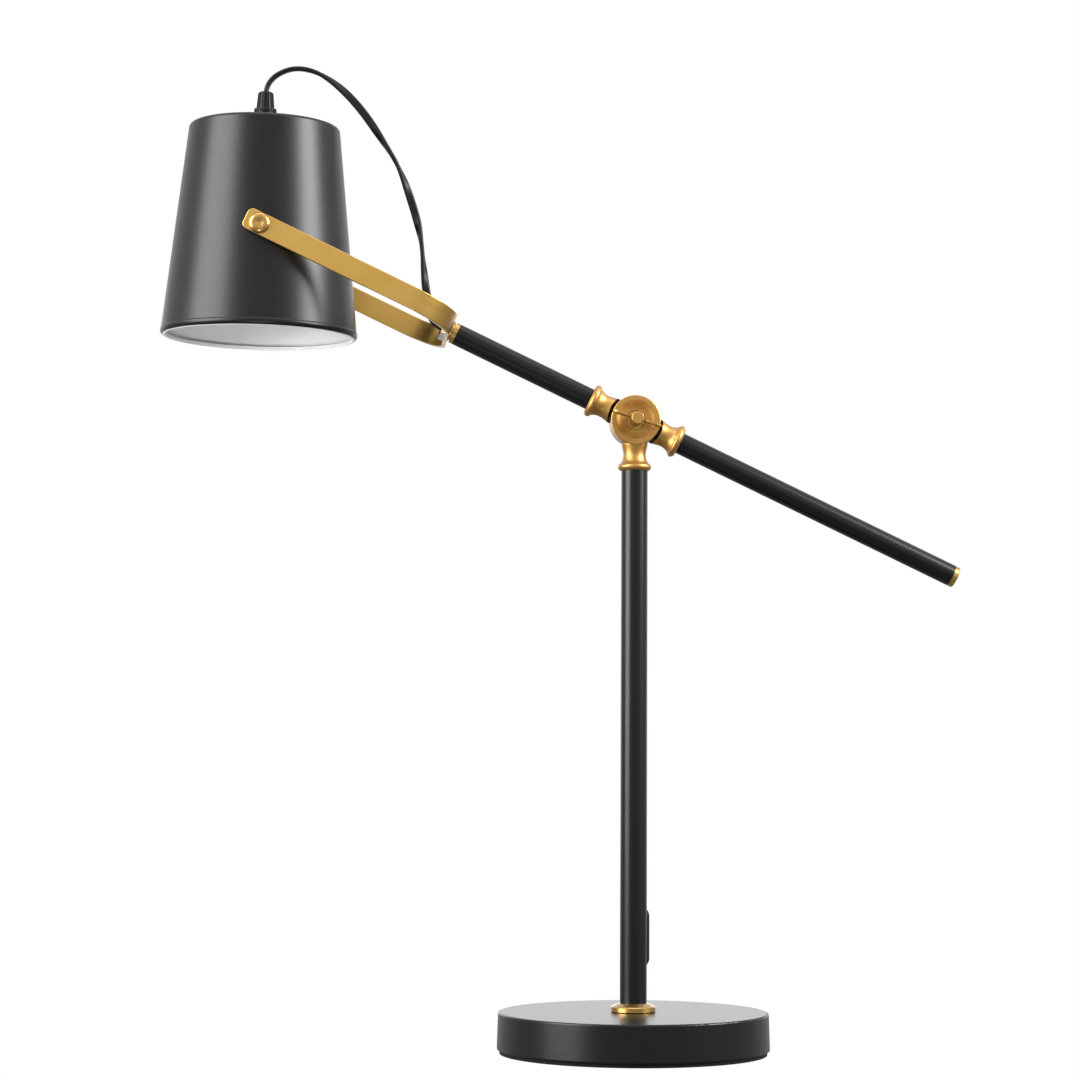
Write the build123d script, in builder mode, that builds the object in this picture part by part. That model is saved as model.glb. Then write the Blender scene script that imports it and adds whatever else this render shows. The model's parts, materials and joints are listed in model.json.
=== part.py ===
from build123d import *
from math import cos, radians, sin, tan
import os

# A desk lamp with a balanced arm, in millimetres. A post stands on a weighted base and ends
# in a clamp knuckle. The arm turns in the knuckle: a strap yoke with the shade hangs at its
# front end, and a counterweight lies in its tail.
# Z is up, X runs from the shade towards the tail, and the clamp's wing screw faces -Y.
# The origin is the centre of the base's underside.

# ---------------------------------------------------------------- driving dimensions

# Fits
RUN_FIT = 0.05  # radial clearance of a shaft that turns in its hole
FACE_PLAY = 0.1  # between flat faces of pieces that turn against each other
LOOSE = 0.3  # radial clearance of a piece that only passes through or drops into another

# Base
BASE_RADIUS = 81.2  # at the foot of the cover
BASE_TAPER = 0.7  # how much smaller the cover's radius is at its top
BASE_HEIGHT = 24.5
BASE_WALL = 1.2
BASE_EDGE = 1.1  # rounding of the cover's top edge
FOOT_EDGE = 1.0  # rounding of the cover's lower edge
PAD_THICKNESS = 2.2
PAD_INSET = 1.6
WEIGHT_PLATE = 13.8  # thickness of the cast weight away from its boss and rim
WEIGHT_RIM = 5.5
WEIGHT_BOSS = 18.0
WEIGHT_GAP = 1.8  # between the weight's rim and the cover's wall
NUT_POCKET = 12.0

# Hollow threaded tubes and their nuts
NIPPLE_RADIUS = 5.0
NIPPLE_BORE = 3.6
NIPPLE_NUT = 16.0  # across flats
NIPPLE_NUT_HEIGHT = 4.0
NIPPLE_TAIL = 1.2  # thread that stands out of the nut
WASHER_RADIUS = 9.5
WASHER_THICKNESS = 0.8

# Mains inlet at the back of the base
INLET_HEIGHT = 8.5
INLET_RADIUS = 4.0
INLET_FLANGE = 5.8
INLET_FLANGE_THICKNESS = 1.5
INLET_NOSE = 4.5
INLET_BORE = 2.6
CHANNEL_WIDTH = 9.0
CHANNEL_HEIGHT = 12.0

# Post
POST_RADIUS = 8.0
POST_WALL = 1.2
COLLAR_RADIUS = 13.3
COLLAR_BAND = 3.5
COLLAR_HEIGHT = 5.2
COLLAR_SHOULDER = 9.3
COLLAR_EDGE = 0.5
FOOT_PLUG_LENGTH = 15.0

# Rocker switch, on the back right of the post
SWITCH_HEIGHT = 68.4
SWITCH_FACING = 45.0  # degrees from +X towards +Y
BEZEL_LENGTH = 34.8
BEZEL_WIDTH = 10.0
BEZEL_PROUD = 1.3  # beyond the post's surface
BEZEL_EDGE = 0.5
SWITCH_BODY_LENGTH = 29.6
SWITCH_BODY_WIDTH = 8.0
SWITCH_BODY_WALL = 0.6
SWITCH_BODY_BACK = -0.5  # from the post's axis, towards the switch
SWITCH_FLOOR = 3.0  # from the post's axis to the floor of the rocker's well
ROCKER_LENGTH = 27.6
ROCKER_WIDTH = 6.2
ROCKER_THROW = 3.0  # degrees each side of level
ROCKER_PIVOT = 5.6  # from the post's axis
ROCKER_PIN = 0.8
ROCKER_KEEL = 1.4  # below the pin
ROCKER_KEEL_LENGTH = 10.0
ROCKER_END = 1.4  # thickness of the rocker at its ends

# Clamp knuckle
KNUCKLE_HEIGHT = 377.9
DISC_RADIUS = 15.05
DISC_HALF = 8.0  # from the parting plane to the disc's face
DISC_EDGE = 0.7
DISH_RADIUS = 12.4
DISH_SHOULDER = (10.2, 0.75)  # radius, and depth below the disc's face
DISH_FLOOR = (8.0, 1.35)
DISH_DEPTH = 1.55
EYE_EDGE = 0.35  # rounding of the eye's edge
EYE_RADIUS = 5.85
EYE_FLOOR = 4.5  # from the parting plane to the floor of the eye
CAVITY_OUTER = 11.5
CAVITY_INNER = 6.8
CAVITY_DEPTH = 5.5
PARTING_GAP = 0.5
SCREW_RADIUS = 3.0
NECK_LENGTH = 30.1  # from the knuckle's centre to the tube
NECK_CURVE = ((7.9, 14.6), (7.2, 17.6), (6.85, 21.0), (7.6, 24.2), (9.4, 26.4))
NECK_BEAD = ((9.4, 26.4), (10.1, 28.0), (9.3, 29.5))  # radius, and distance from the centre
NECK_FOOT = 8.7
NECK_BORE = 4.2
NECK_RELIEF = 1.75  # gap between a disc and the end of the other half's neck
SPIGOT_LENGTH = 12.0
SPIGOT_FIT = 0.05
KNUCKLE_NUT = 10.0  # across flats
KNUCKLE_NUT_HEIGHT = 4.6
KNUCKLE_NUT_SEAT = 3.4  # from the parting plane
CLAMP_WASHER_THICKNESS = 0.8

# Wing screw
WING_BOSS = 3.75
WING_FRONT = 20.0  # from the parting plane to the boss's face
WING_SPAN = 31.9
WING_DEPTH = 8.8
WING_THICKNESS = 1.1
WING_DROP = 17.3  # degrees that the right wing points below level
WING_EDGE = 0.4
WING_NOTCH = 7.9  # radius of the hollow between the wings
SCREW_POINT = 0.6  # bevel at the screw's end
SCREW_TIP = 10.5  # from the parting plane, behind the knuckle

# Arm
ARM_SLOPE = 25.4  # degrees above level, towards the shade
ARM_RADIUS = 6.5
ARM_WALL = 1.0
FRONT_LENGTH = 119.4  # from the knuckle's centre to the end of the front tube
REAR_LENGTH = 213.7
CAP_LENGTH = 3.1
CAP_EDGE = 0.5
CAP_PLUG = 8.0
SLUG_LENGTH = 92.0
SLUG_FIT = 0.1
FRONT_PLUG_LENGTH = 13.4
FERRULE_LENGTH = 2.4
FERRULE_NECK = 0.5
FERRULE_NECK_RADIUS = 5.2

# Yoke
STRAP_WIDTH = 12.8
STRAP_THICKNESS = 2.5
STRAP_BEND = 30.0  # outer radius of its two bends
YOKE_HALF_WIDTH = 56.6  # from the arm's axis to the strap's outer face
PIVOT_REACH = 249.4  # from the knuckle's centre
STRAP_END = 9.0  # beyond the pivot
STRAP_CORNER = 3.2
STRAP_EDGE = 0.4  # rounding of its long edges
SWIVEL_RADIUS = 4.0
SWIVEL_BORE = 3.0
SWIVEL_WASHER = 6.1
SWIVEL_WASHER_THICKNESS = 0.5
SWIVEL_NUT = 13.0  # across flats
SWIVEL_NUT_HEIGHT = 3.0
SWIVEL_COLLAR_LENGTH = 4.0
SWIVEL_TAIL = 3.0  # nipple behind the collar
BUSH_LIP = 1.0
BUSH_DEPTH = 3.0
BUSH_FLANGE = 4.4

# Shade pivots
PIVOT_RADIUS = 2.0
PIVOT_HEAD = 6.15
PIVOT_HEAD_RIM = 0.7
PIVOT_HEAD_HEIGHT = 2.7
PIVOT_DIMPLE = 3.0
PIVOT_DIMPLE_DEPTH = 0.5
SPACER_RADIUS = 4.6
SADDLE_RADIUS = 5.0
SADDLE_DEPTH = 1.6  # from the shade's wall to the nut
PIVOT_NUT = 7.0  # across flats
PIVOT_NUT_HEIGHT = 3.2
PIVOT_TAIL = 0.8

# Shade
SHADE_LEAN = 1.0  # degrees that the shade's top leans towards the tail
RIM_RADIUS = 58.9
RIM_DROP = 59.6  # below the pivot
TOP_RADIUS = 45.1
TOP_RISE = 68.1  # above the pivot
SHADE_WALL = 0.8
SHADE_EDGE = 2.5
ROLL_HEIGHT = 4.2  # of the rolled rim
ROLL_WIDTH = 3.5
ROLL_PROUD = 0.35  # beyond the wall's outside
ROLL_STEP = 0.7
ROLL_EDGE = 2.6  # rounding of the rim's outer corner
HEM_HEIGHT = 2.6  # inside the rim
HEM_EDGE = 0.6

# Cord grip on the shade
GRIP_NUT = 14.0  # across flats
GRIP_NUT_HEIGHT = 4.0
GRIP_BODY_RADIUS = 6.0
GRIP_BODY_HEIGHT = 5.0
GRIP_RING_RADIUS = 6.75
GRIP_RING_HEIGHT = 1.9
GRIP_RING_NOTCHES = 32
GRIP_RING_NOTCH = 0.35  # radius of one notch
GRIP_CONE_BASE = 5.45
GRIP_CONE_TOP = 4.6
GRIP_CONE_HEIGHT = 10.35
GRIP_CONE_EDGE = 0.8  # bevel at the cone's top
GRIP_RIBS = 9  # diametral bars, so twice as many ribs
GRIP_RIB_WIDTH = 0.9
GRIP_RIB_DEPTH = 0.5
GRIP_BORE = 2.6
GRIP_MOUTH_DEPTH = 3.0
GRIP_THREAD = 4.0  # nipple held in the grip
GRIP_STUD = 4.0  # its end above the ring

# Lampholder
HOLDER_HUB = 8.0
HOLDER_HUB_HEIGHT = 6.0
HOLDER_RADIUS = 17.0
HOLDER_WALL = 2.0
HOLDER_CAP_HEIGHT = 20.0
HOLDER_LENGTH = 30.0
HOLDER_CORE = 6.0
SHELL_BORE = 13.2
SHELL_WALL = 0.6
CONTACT_RADIUS = 3.5
CONTACT_THICKNESS = 0.8
CONTACT_STEM = 1.5
SLEEVE_LENGTH = 20.0
SLEEVE_DROP = 1.5  # from the holder's cap to the threaded sleeve

# Wires and cord
WIRE_RADIUS = 1.8
CORD_RADIUS = 2.2
WIRE_SIDE = 4.5  # from the post's axis, away from the switch
WIRE_END = 7.4  # from the knuckle's centre
WIRE_STEP = 12.0  # height that the lead takes to step aside in the post
WIRE_GAP = 0.1  # from a wire to the wall that it runs along
WIRE_RAMP = (0.86, 0.52)  # shares of the base's radius between which the lead comes down

# ---------------------------------------------------------------- places and helpers

KNUCKLE = (0, 0, KNUCKLE_HEIGHT)
SWIVEL_STACK = FRONT_LENGTH + FERRULE_LENGTH + FERRULE_NECK
STRAP_FACE = SWIVEL_STACK + FACE_PLAY + SWIVEL_WASHER_THICKNESS
STRAP_INNER = STRAP_FACE + STRAP_THICKNESS
YOKE_MOUTH = STRAP_INNER + SWIVEL_NUT_HEIGHT + BUSH_LIP
PIVOT = (
    -PIVOT_REACH * cos(radians(ARM_SLOPE)),
    0,
    KNUCKLE_HEIGHT + PIVOT_REACH * sin(radians(ARM_SLOPE)),
)
POST_BORE = POST_RADIUS - POST_WALL
ARM_BORE = ARM_RADIUS - ARM_WALL


def section(origin, slope):
    """A plane in the lamp's XZ plane whose own Y runs at slope degrees above +X."""
    run, rise = cos(radians(slope)), sin(radians(slope))
    return Plane(origin=origin, x_dir=(rise, 0, -run), z_dir=(0, -1, 0))


def sideways(origin, side):
    """A plane whose own Y runs from origin along -Y for side -1, and along +Y for side 1."""
    return Plane(origin=origin, x_dir=(1, 0, 0), z_dir=(0, 0, side))


def across(plane, distance):
    """The plane square to another plane's own Y, at a distance along it."""
    return Plane(
        origin=plane.origin + plane.y_dir * distance, x_dir=plane.x_dir, z_dir=plane.y_dir
    )


def outline(plane, *points):
    with BuildSketch(plane) as shape:
        with BuildLine():
            Polyline(*points, close=True)
        make_face()
    return shape.sketch


def turn(plane, *points, mode=Mode.ADD):
    """Turns an outline of (radius, distance) points about the plane's own Y."""
    revolve(outline(plane, *points), axis=Axis(plane.origin, plane.y_dir), mode=mode)


def turn_ring(plane, inner, outer, start, end, mode=Mode.ADD):
    turn(plane, (inner, start), (outer, start), (outer, end), (inner, end), mode=mode)


def hexagon(plane, across_flats, start, end, mode=Mode.ADD):
    with BuildSketch(across(plane, start)) as shape:
        RegularPolygon(radius=across_flats / 2, side_count=6, major_radius=False)
    extrude(shape.sketch, amount=end - start, mode=mode)


UP = section((0, 0, 0), 90)
POST_NECK = section(KNUCKLE, -90)
TO_HEAD = section(KNUCKLE, 180 - ARM_SLOPE)
TO_TAIL = section(KNUCKLE, -ARM_SLOPE)
HEAD = section(PIVOT, 90 - SHADE_LEAN)
pieces = {}


def keep(name, builder):
    """Labels a finished piece and puts it on the list of those written at the end."""
    builder.part.label = name
    pieces[name] = builder.part


# ---------------------------------------------------------------- base

COVER_TOP = BASE_HEIGHT - BASE_WALL  # underside of the cover's top
TOP_OUTER = BASE_RADIUS - BASE_TAPER
WEIGHT_RADIUS = TOP_OUTER - BASE_WALL - WEIGHT_GAP
WEIGHT_TOP = PAD_THICKNESS + WEIGHT_PLATE
NUT_TOP = WEIGHT_TOP - WASHER_THICKNESS
NUT_LOW = NUT_TOP - NIPPLE_NUT_HEIGHT
COLLAR_TOP = BASE_HEIGHT + COLLAR_HEIGHT
INLET = Plane(origin=(0, 0, INLET_HEIGHT), x_dir=(1, 0, 0), z_dir=(0, 0, 1))

with BuildPart() as base_cover:
    turn(
        UP,
        (NIPPLE_RADIUS + LOOSE, COVER_TOP),
        (TOP_OUTER - BASE_WALL, COVER_TOP),
        (BASE_RADIUS - BASE_WALL, PAD_THICKNESS),
        (BASE_RADIUS, PAD_THICKNESS),
        (TOP_OUTER, BASE_HEIGHT),
        (NIPPLE_RADIUS + LOOSE, BASE_HEIGHT),
    )
    fillet(base_cover.edges().group_by(Axis.Z)[-1].sort_by(SortBy.RADIUS)[-1], BASE_EDGE)
    fillet(base_cover.edges().group_by(Axis.Z)[0].sort_by(SortBy.RADIUS)[-1], FOOT_EDGE)
    turn_ring(INLET, 0, INLET_RADIUS, 0, BASE_RADIUS + 1, mode=Mode.SUBTRACT)
keep("base_cover", base_cover)

# The cast weight: a plate with a boss and a rim that carry the cover, a pocket for the nut
# and a channel for the lead.
with BuildPart() as base_weight:
    turn(
        UP,
        (NIPPLE_RADIUS + LOOSE, PAD_THICKNESS),
        (WEIGHT_RADIUS, PAD_THICKNESS),
        (WEIGHT_RADIUS, COVER_TOP),
        (WEIGHT_RADIUS - WEIGHT_RIM, COVER_TOP),
        (WEIGHT_RADIUS - WEIGHT_RIM, WEIGHT_TOP),
        (WEIGHT_BOSS, WEIGHT_TOP),
        (WEIGHT_BOSS, COVER_TOP),
        (NIPPLE_RADIUS + LOOSE, COVER_TOP),
    )
    turn_ring(UP, 0, NUT_POCKET, PAD_THICKNESS, WEIGHT_TOP, mode=Mode.SUBTRACT)
    with BuildSketch(Plane.XY.offset(PAD_THICKNESS)) as channel:
        Rectangle(CHANNEL_WIDTH, WEIGHT_RADIUS + 1, align=(Align.CENTER, Align.MIN))
    extrude(amount=CHANNEL_HEIGHT - PAD_THICKNESS, mode=Mode.SUBTRACT)
keep("base_weight", base_weight)

with BuildPart() as base_pad:
    turn_ring(UP, 0, BASE_RADIUS - PAD_INSET, 0, PAD_THICKNESS)
keep("base_pad", base_pad)

with BuildPart() as base_nipple:
    turn_ring(
        UP, NIPPLE_BORE, NIPPLE_RADIUS, NUT_LOW - NIPPLE_TAIL, COLLAR_TOP + FOOT_PLUG_LENGTH
    )
keep("base_nipple", base_nipple)

with BuildPart() as base_washer:
    turn_ring(UP, NIPPLE_RADIUS, WASHER_RADIUS, NUT_TOP, WEIGHT_TOP)
keep("base_washer", base_washer)

with BuildPart() as base_nut:
    hexagon(UP, NIPPLE_NUT, NUT_LOW, NUT_TOP)
    turn_ring(UP, 0, NIPPLE_RADIUS, NUT_LOW, NUT_TOP, mode=Mode.SUBTRACT)
keep("base_nut", base_nut)

# The inlet's bushing grips the cover's wall between two flanges.
INLET_FACE = BASE_RADIUS + FACE_PLAY
with BuildPart() as cord_bushing:
    turn(
        INLET,
        (INLET_BORE, INLET_FACE - BASE_TAPER - BASE_WALL - INLET_FLANGE_THICKNESS),
        (INLET_FLANGE, INLET_FACE - BASE_TAPER - BASE_WALL - INLET_FLANGE_THICKNESS),
        (INLET_FLANGE, INLET_FACE - BASE_TAPER - BASE_WALL),
        (INLET_RADIUS, INLET_FACE - BASE_TAPER - BASE_WALL),
        (INLET_RADIUS, INLET_FACE),
        (INLET_FLANGE, INLET_FACE),
        (INLET_FLANGE, INLET_FACE + INLET_FLANGE_THICKNESS),
        (INLET_RADIUS, INLET_FACE + INLET_NOSE),
        (INLET_BORE, INLET_FACE + INLET_NOSE),
    )
keep("cord_bushing", cord_bushing)

# ---------------------------------------------------------------- post

with BuildPart() as post_collar:
    turn(
        UP,
        (NIPPLE_RADIUS, BASE_HEIGHT),
        (COLLAR_RADIUS - COLLAR_EDGE, BASE_HEIGHT),
        (COLLAR_RADIUS, BASE_HEIGHT + COLLAR_EDGE),
        (COLLAR_RADIUS, BASE_HEIGHT + COLLAR_BAND - COLLAR_EDGE),
        (COLLAR_RADIUS - COLLAR_EDGE, BASE_HEIGHT + COLLAR_BAND),
        (COLLAR_SHOULDER, COLLAR_TOP),
        (NIPPLE_RADIUS, COLLAR_TOP),
    )
keep("post_collar", post_collar)

with BuildPart() as post_foot:
    turn_ring(UP, NIPPLE_RADIUS, POST_BORE, COLLAR_TOP, COLLAR_TOP + FOOT_PLUG_LENGTH)
keep("post_foot", post_foot)

FACING = (cos(radians(SWITCH_FACING)), sin(radians(SWITCH_FACING)))
SWITCH = Plane(
    origin=(0, 0, SWITCH_HEIGHT),
    x_dir=(-FACING[1], FACING[0], 0),
    z_dir=(FACING[0], FACING[1], 0),
)

with BuildPart() as post_tube:
    turn_ring(UP, POST_BORE, POST_RADIUS, COLLAR_TOP, KNUCKLE_HEIGHT - NECK_LENGTH)
    with BuildSketch(SWITCH) as switch_window:
        Rectangle(SWITCH_BODY_WIDTH, SWITCH_BODY_LENGTH)
    extrude(amount=POST_RADIUS + 1, mode=Mode.SUBTRACT)
keep("post_tube", post_tube)

# The switch's frame lies on the tube, and its body reaches in through the window.
BEZEL_FACE = POST_RADIUS + BEZEL_PROUD
WELL_LENGTH = SWITCH_BODY_LENGTH - 2 * SWITCH_BODY_WALL
WELL_WIDTH = SWITCH_BODY_WIDTH - 2 * SWITCH_BODY_WALL
with BuildPart() as switch_bezel:
    with BuildSketch(SWITCH.offset(POST_BORE / 2)) as bezel_outline:
        SlotOverall(BEZEL_LENGTH, BEZEL_WIDTH, rotation=90)
    extrude(amount=BEZEL_FACE - POST_BORE / 2)
    fillet(switch_bezel.faces().filter_by(GeomType.PLANE).sort_by_distance(
        SWITCH.offset(2 * BEZEL_FACE).origin)[0].edges(), BEZEL_EDGE)
    turn_ring(UP, 0, POST_RADIUS, 0, 2 * SWITCH_HEIGHT, mode=Mode.SUBTRACT)
    with BuildSketch(SWITCH.offset(SWITCH_BODY_BACK)) as body_outline:
        Rectangle(SWITCH_BODY_WIDTH, SWITCH_BODY_LENGTH)
    extrude(amount=POST_RADIUS - SWITCH_BODY_BACK)
    with BuildSketch(SWITCH.offset(SWITCH_FLOOR)) as well_outline:
        Rectangle(WELL_WIDTH, WELL_LENGTH)
    extrude(amount=BEZEL_FACE, mode=Mode.SUBTRACT)
    with BuildSketch(Plane(
        origin=SWITCH.origin + SWITCH.z_dir * ROCKER_PIVOT - SWITCH.x_dir * SWITCH_BODY_WIDTH,
        x_dir=SWITCH.y_dir,
        z_dir=SWITCH.x_dir,
    )) as pin_hole:
        Circle(ROCKER_PIN + RUN_FIT)
    extrude(amount=2 * SWITCH_BODY_WIDTH, mode=Mode.SUBTRACT)
keep("switch_bezel", switch_bezel)

# The rocker rests with its lower end pressed in, level with the bezel.
THROW = radians(ROCKER_THROW)
ROCKER = Plane(
    origin=SWITCH.origin + SWITCH.z_dir * ROCKER_PIVOT,
    x_dir=SWITCH.z_dir * cos(THROW) - SWITCH.y_dir * sin(THROW),
    z_dir=-SWITCH.x_dir,
)
ROCKER_FACE = BEZEL_FACE - ROCKER_PIVOT
ROCKER_RISE = ROCKER_LENGTH / 2 * tan(THROW)
with BuildPart() as switch_rocker:
    with BuildSketch(ROCKER) as rocker_side:
        with BuildLine():
            Polyline(
                (ROCKER_FACE, 0),
                (ROCKER_FACE + ROCKER_RISE, ROCKER_LENGTH / 2),
                (ROCKER_FACE + ROCKER_RISE - ROCKER_END, ROCKER_LENGTH / 2),
                (-ROCKER_KEEL, ROCKER_KEEL_LENGTH / 2),
                (-ROCKER_KEEL, -ROCKER_KEEL_LENGTH / 2),
                (ROCKER_FACE + ROCKER_RISE - ROCKER_END, -ROCKER_LENGTH / 2),
                (ROCKER_FACE + ROCKER_RISE, -ROCKER_LENGTH / 2),
                close=True,
            )
        make_face()
    extrude(amount=ROCKER_WIDTH / 2, both=True)
    with BuildSketch(ROCKER) as pin:
        Circle(ROCKER_PIN)
    extrude(amount=SWITCH_BODY_WIDTH / 2, both=True)
keep("switch_rocker", switch_rocker)

# ---------------------------------------------------------------- clamp knuckle

PARTING = PARTING_GAP / 2
FRONT = sideways(KNUCKLE, -1)
BACK = sideways(KNUCKLE, 1)


def add_disc(face):
    """Half of the knuckle's disc: a hub and a rim around a hollow for the wires."""
    bore = SCREW_RADIUS + RUN_FIT
    with BuildSketch(face) as profile:
        with BuildLine():
            Spline(
                (DISH_RADIUS, DISC_HALF),
                (DISH_SHOULDER[0], DISC_HALF - DISH_SHOULDER[1]),
                (DISH_FLOOR[0], DISC_HALF - DISH_FLOOR[1]),
                (EYE_RADIUS + EYE_EDGE, DISC_HALF - DISH_DEPTH),
                tangents=[(-1, 0), (-1, 0)],
            )
            RadiusArc(
                (EYE_RADIUS + EYE_EDGE, DISC_HALF - DISH_DEPTH),
                (EYE_RADIUS, DISC_HALF - DISH_DEPTH - EYE_EDGE),
                -EYE_EDGE,
            )
            Polyline(
                (EYE_RADIUS, DISC_HALF - DISH_DEPTH - EYE_EDGE),
                (EYE_RADIUS, EYE_FLOOR),
                (bore, EYE_FLOOR),
                (bore, PARTING),
                (CAVITY_INNER, PARTING),
                (CAVITY_INNER, CAVITY_DEPTH),
                (CAVITY_OUTER, CAVITY_DEPTH),
                (CAVITY_OUTER, PARTING),
                (DISC_RADIUS, PARTING),
                (DISC_RADIUS, DISC_HALF - DISC_EDGE),
            )
            RadiusArc(
                (DISC_RADIUS, DISC_HALF - DISC_EDGE),
                (DISC_RADIUS - DISC_EDGE, DISC_HALF),
                -DISC_EDGE,
            )
            Line((DISC_RADIUS - DISC_EDGE, DISC_HALF), (DISH_RADIUS, DISC_HALF))
        make_face()
    revolve(profile.sketch, axis=Axis(face.origin, face.y_dir))


def add_neck(plane, spigot):
    """A turned neck with a spigot, from inside the disc's rim to inside its tube."""
    inside = (CAVITY_OUTER + DISC_RADIUS) / 2
    with BuildSketch(plane) as profile:
        with BuildLine():
            Polyline(
                (NECK_FOOT, NECK_LENGTH),
                (spigot, NECK_LENGTH),
                (spigot, NECK_LENGTH + SPIGOT_LENGTH),
                (0, NECK_LENGTH + SPIGOT_LENGTH),
                (0, inside),
                (NECK_CURVE[0][0], inside),
                NECK_CURVE[0],
            )
            Spline(*NECK_CURVE)
            ThreePointArc(*NECK_BEAD)
            Line(NECK_BEAD[-1], (NECK_FOOT, NECK_LENGTH))
        make_face()
    revolve(profile.sketch, axis=Axis(plane.origin, plane.y_dir))


def clear_neck(plane, face):
    """Frees the neck for the other half's disc, and bores it as far as the hollow."""
    turn_ring(face, 0, DISC_RADIUS + NECK_RELIEF, -2 * DISC_HALF, PARTING, mode=Mode.SUBTRACT)
    turn_ring(
        plane,
        0,
        NECK_BORE,
        (CAVITY_INNER + CAVITY_OUTER) / 2,
        NECK_LENGTH + SPIGOT_LENGTH,
        mode=Mode.SUBTRACT,
    )


with BuildPart() as post_knuckle:
    add_neck(POST_NECK, POST_BORE - SPIGOT_FIT)
    clear_neck(POST_NECK, FRONT)
    add_disc(FRONT)
    turn_ring(
        POST_NECK, 0, NECK_BORE, (CAVITY_INNER + CAVITY_OUTER) / 2, NECK_LENGTH,
        mode=Mode.SUBTRACT,
    )
keep("post_knuckle", post_knuckle)

with BuildPart() as arm_knuckle:
    add_neck(TO_HEAD, ARM_BORE - SPIGOT_FIT)
    add_neck(TO_TAIL, ARM_BORE - SPIGOT_FIT)
    clear_neck(TO_HEAD, BACK)
    clear_neck(TO_TAIL, BACK)
    add_disc(BACK)
    turn_ring(
        TO_HEAD, 0, NECK_BORE, (CAVITY_INNER + CAVITY_OUTER) / 2, NECK_LENGTH,
        mode=Mode.SUBTRACT,
    )
    hexagon(BACK, KNUCKLE_NUT + 2 * RUN_FIT, KNUCKLE_NUT_SEAT, DISC_HALF, mode=Mode.SUBTRACT)
keep("arm_knuckle", arm_knuckle)

with BuildPart() as knuckle_nut:
    hexagon(BACK, KNUCKLE_NUT, KNUCKLE_NUT_SEAT, KNUCKLE_NUT_SEAT + KNUCKLE_NUT_HEIGHT)
    turn_ring(BACK, 0, SCREW_RADIUS + RUN_FIT, 0, 2 * DISC_HALF, mode=Mode.SUBTRACT)
keep("knuckle_nut", knuckle_nut)

with BuildPart() as friction_washer:
    turn_ring(
        FRONT, SCREW_RADIUS + LOOSE, CAVITY_INNER, FACE_PLAY - PARTING, PARTING
    )
keep("friction_washer", friction_washer)

WASHER_FACE = EYE_FLOOR + CLAMP_WASHER_THICKNESS
with BuildPart() as clamp_washer:
    turn_ring(
        FRONT, SCREW_RADIUS + LOOSE, EYE_RADIUS - LOOSE, EYE_FLOOR, WASHER_FACE
    )
keep("clamp_washer", clamp_washer)

# The wing screw, seen edge on from the front.
WING_SLOPE = radians(WING_DROP)
WINGS = Plane(
    origin=KNUCKLE,
    x_dir=(cos(WING_SLOPE), 0, -sin(WING_SLOPE)),
    z_dir=(-sin(WING_SLOPE), 0, -cos(WING_SLOPE)),
)
WING_EAR = (WING_DEPTH - WING_EDGE) / 2
with BuildPart() as wing_screw:
    turn(
        FRONT,
        (0, -SCREW_TIP),
        (SCREW_RADIUS - SCREW_POINT, -SCREW_TIP),
        (SCREW_RADIUS, SCREW_POINT - SCREW_TIP),
        (SCREW_RADIUS, WASHER_FACE),
        (WING_BOSS, WASHER_FACE),
        (WING_BOSS, WING_FRONT - WING_EDGE),
        (WING_BOSS - WING_EDGE, WING_FRONT),
        (0, WING_FRONT),
    )
    with BuildSketch(WINGS) as wing_outline:
        with Locations((0, WING_FRONT - WING_DEPTH / 2)):
            Rectangle(WING_SPAN, WING_DEPTH)
        fillet(wing_outline.vertices(), WING_EAR)
        with Locations((0, WING_FRONT + WING_DEPTH / 2)):
            Circle(WING_NOTCH, mode=Mode.SUBTRACT)
    extrude(amount=WING_THICKNESS / 2, both=True)
keep("wing_screw", wing_screw)

# ---------------------------------------------------------------- arm

with BuildPart() as front_tube:
    turn_ring(TO_HEAD, ARM_BORE, ARM_RADIUS, NECK_LENGTH, FRONT_LENGTH)
keep("front_tube", front_tube)

with BuildPart() as rear_tube:
    turn_ring(TO_TAIL, ARM_BORE, ARM_RADIUS, NECK_LENGTH, REAR_LENGTH)
keep("rear_tube", rear_tube)

with BuildPart() as tail_cap:
    turn(
        TO_TAIL,
        (0, REAR_LENGTH - CAP_PLUG),
        (ARM_BORE, REAR_LENGTH - CAP_PLUG),
        (ARM_BORE, REAR_LENGTH),
        (ARM_RADIUS, REAR_LENGTH),
        (ARM_RADIUS, REAR_LENGTH + CAP_LENGTH - CAP_EDGE),
        (ARM_RADIUS - CAP_EDGE, REAR_LENGTH + CAP_LENGTH),
        (0, REAR_LENGTH + CAP_LENGTH),
    )
keep("tail_cap", tail_cap)

with BuildPart() as tail_slug:
    turn_ring(
        TO_TAIL,
        0,
        ARM_BORE - SLUG_FIT,
        REAR_LENGTH - CAP_PLUG - SLUG_LENGTH,
        REAR_LENGTH - CAP_PLUG,
    )
keep("tail_slug", tail_slug)

PLUG_BACK = FRONT_LENGTH - FRONT_PLUG_LENGTH
with BuildPart() as front_plug:
    turn_ring(TO_HEAD, SWIVEL_RADIUS + RUN_FIT, ARM_BORE, PLUG_BACK, FRONT_LENGTH)
keep("front_plug", front_plug)

with BuildPart() as arm_ring:
    turn(
        TO_HEAD,
        (SWIVEL_RADIUS + RUN_FIT, FRONT_LENGTH),
        (ARM_RADIUS, FRONT_LENGTH),
        (ARM_RADIUS, FRONT_LENGTH + FERRULE_LENGTH),
        (FERRULE_NECK_RADIUS, FRONT_LENGTH + FERRULE_LENGTH),
        (FERRULE_NECK_RADIUS, SWIVEL_STACK),
        (SWIVEL_RADIUS + RUN_FIT, SWIVEL_STACK),
    )
keep("arm_ring", arm_ring)

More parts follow.
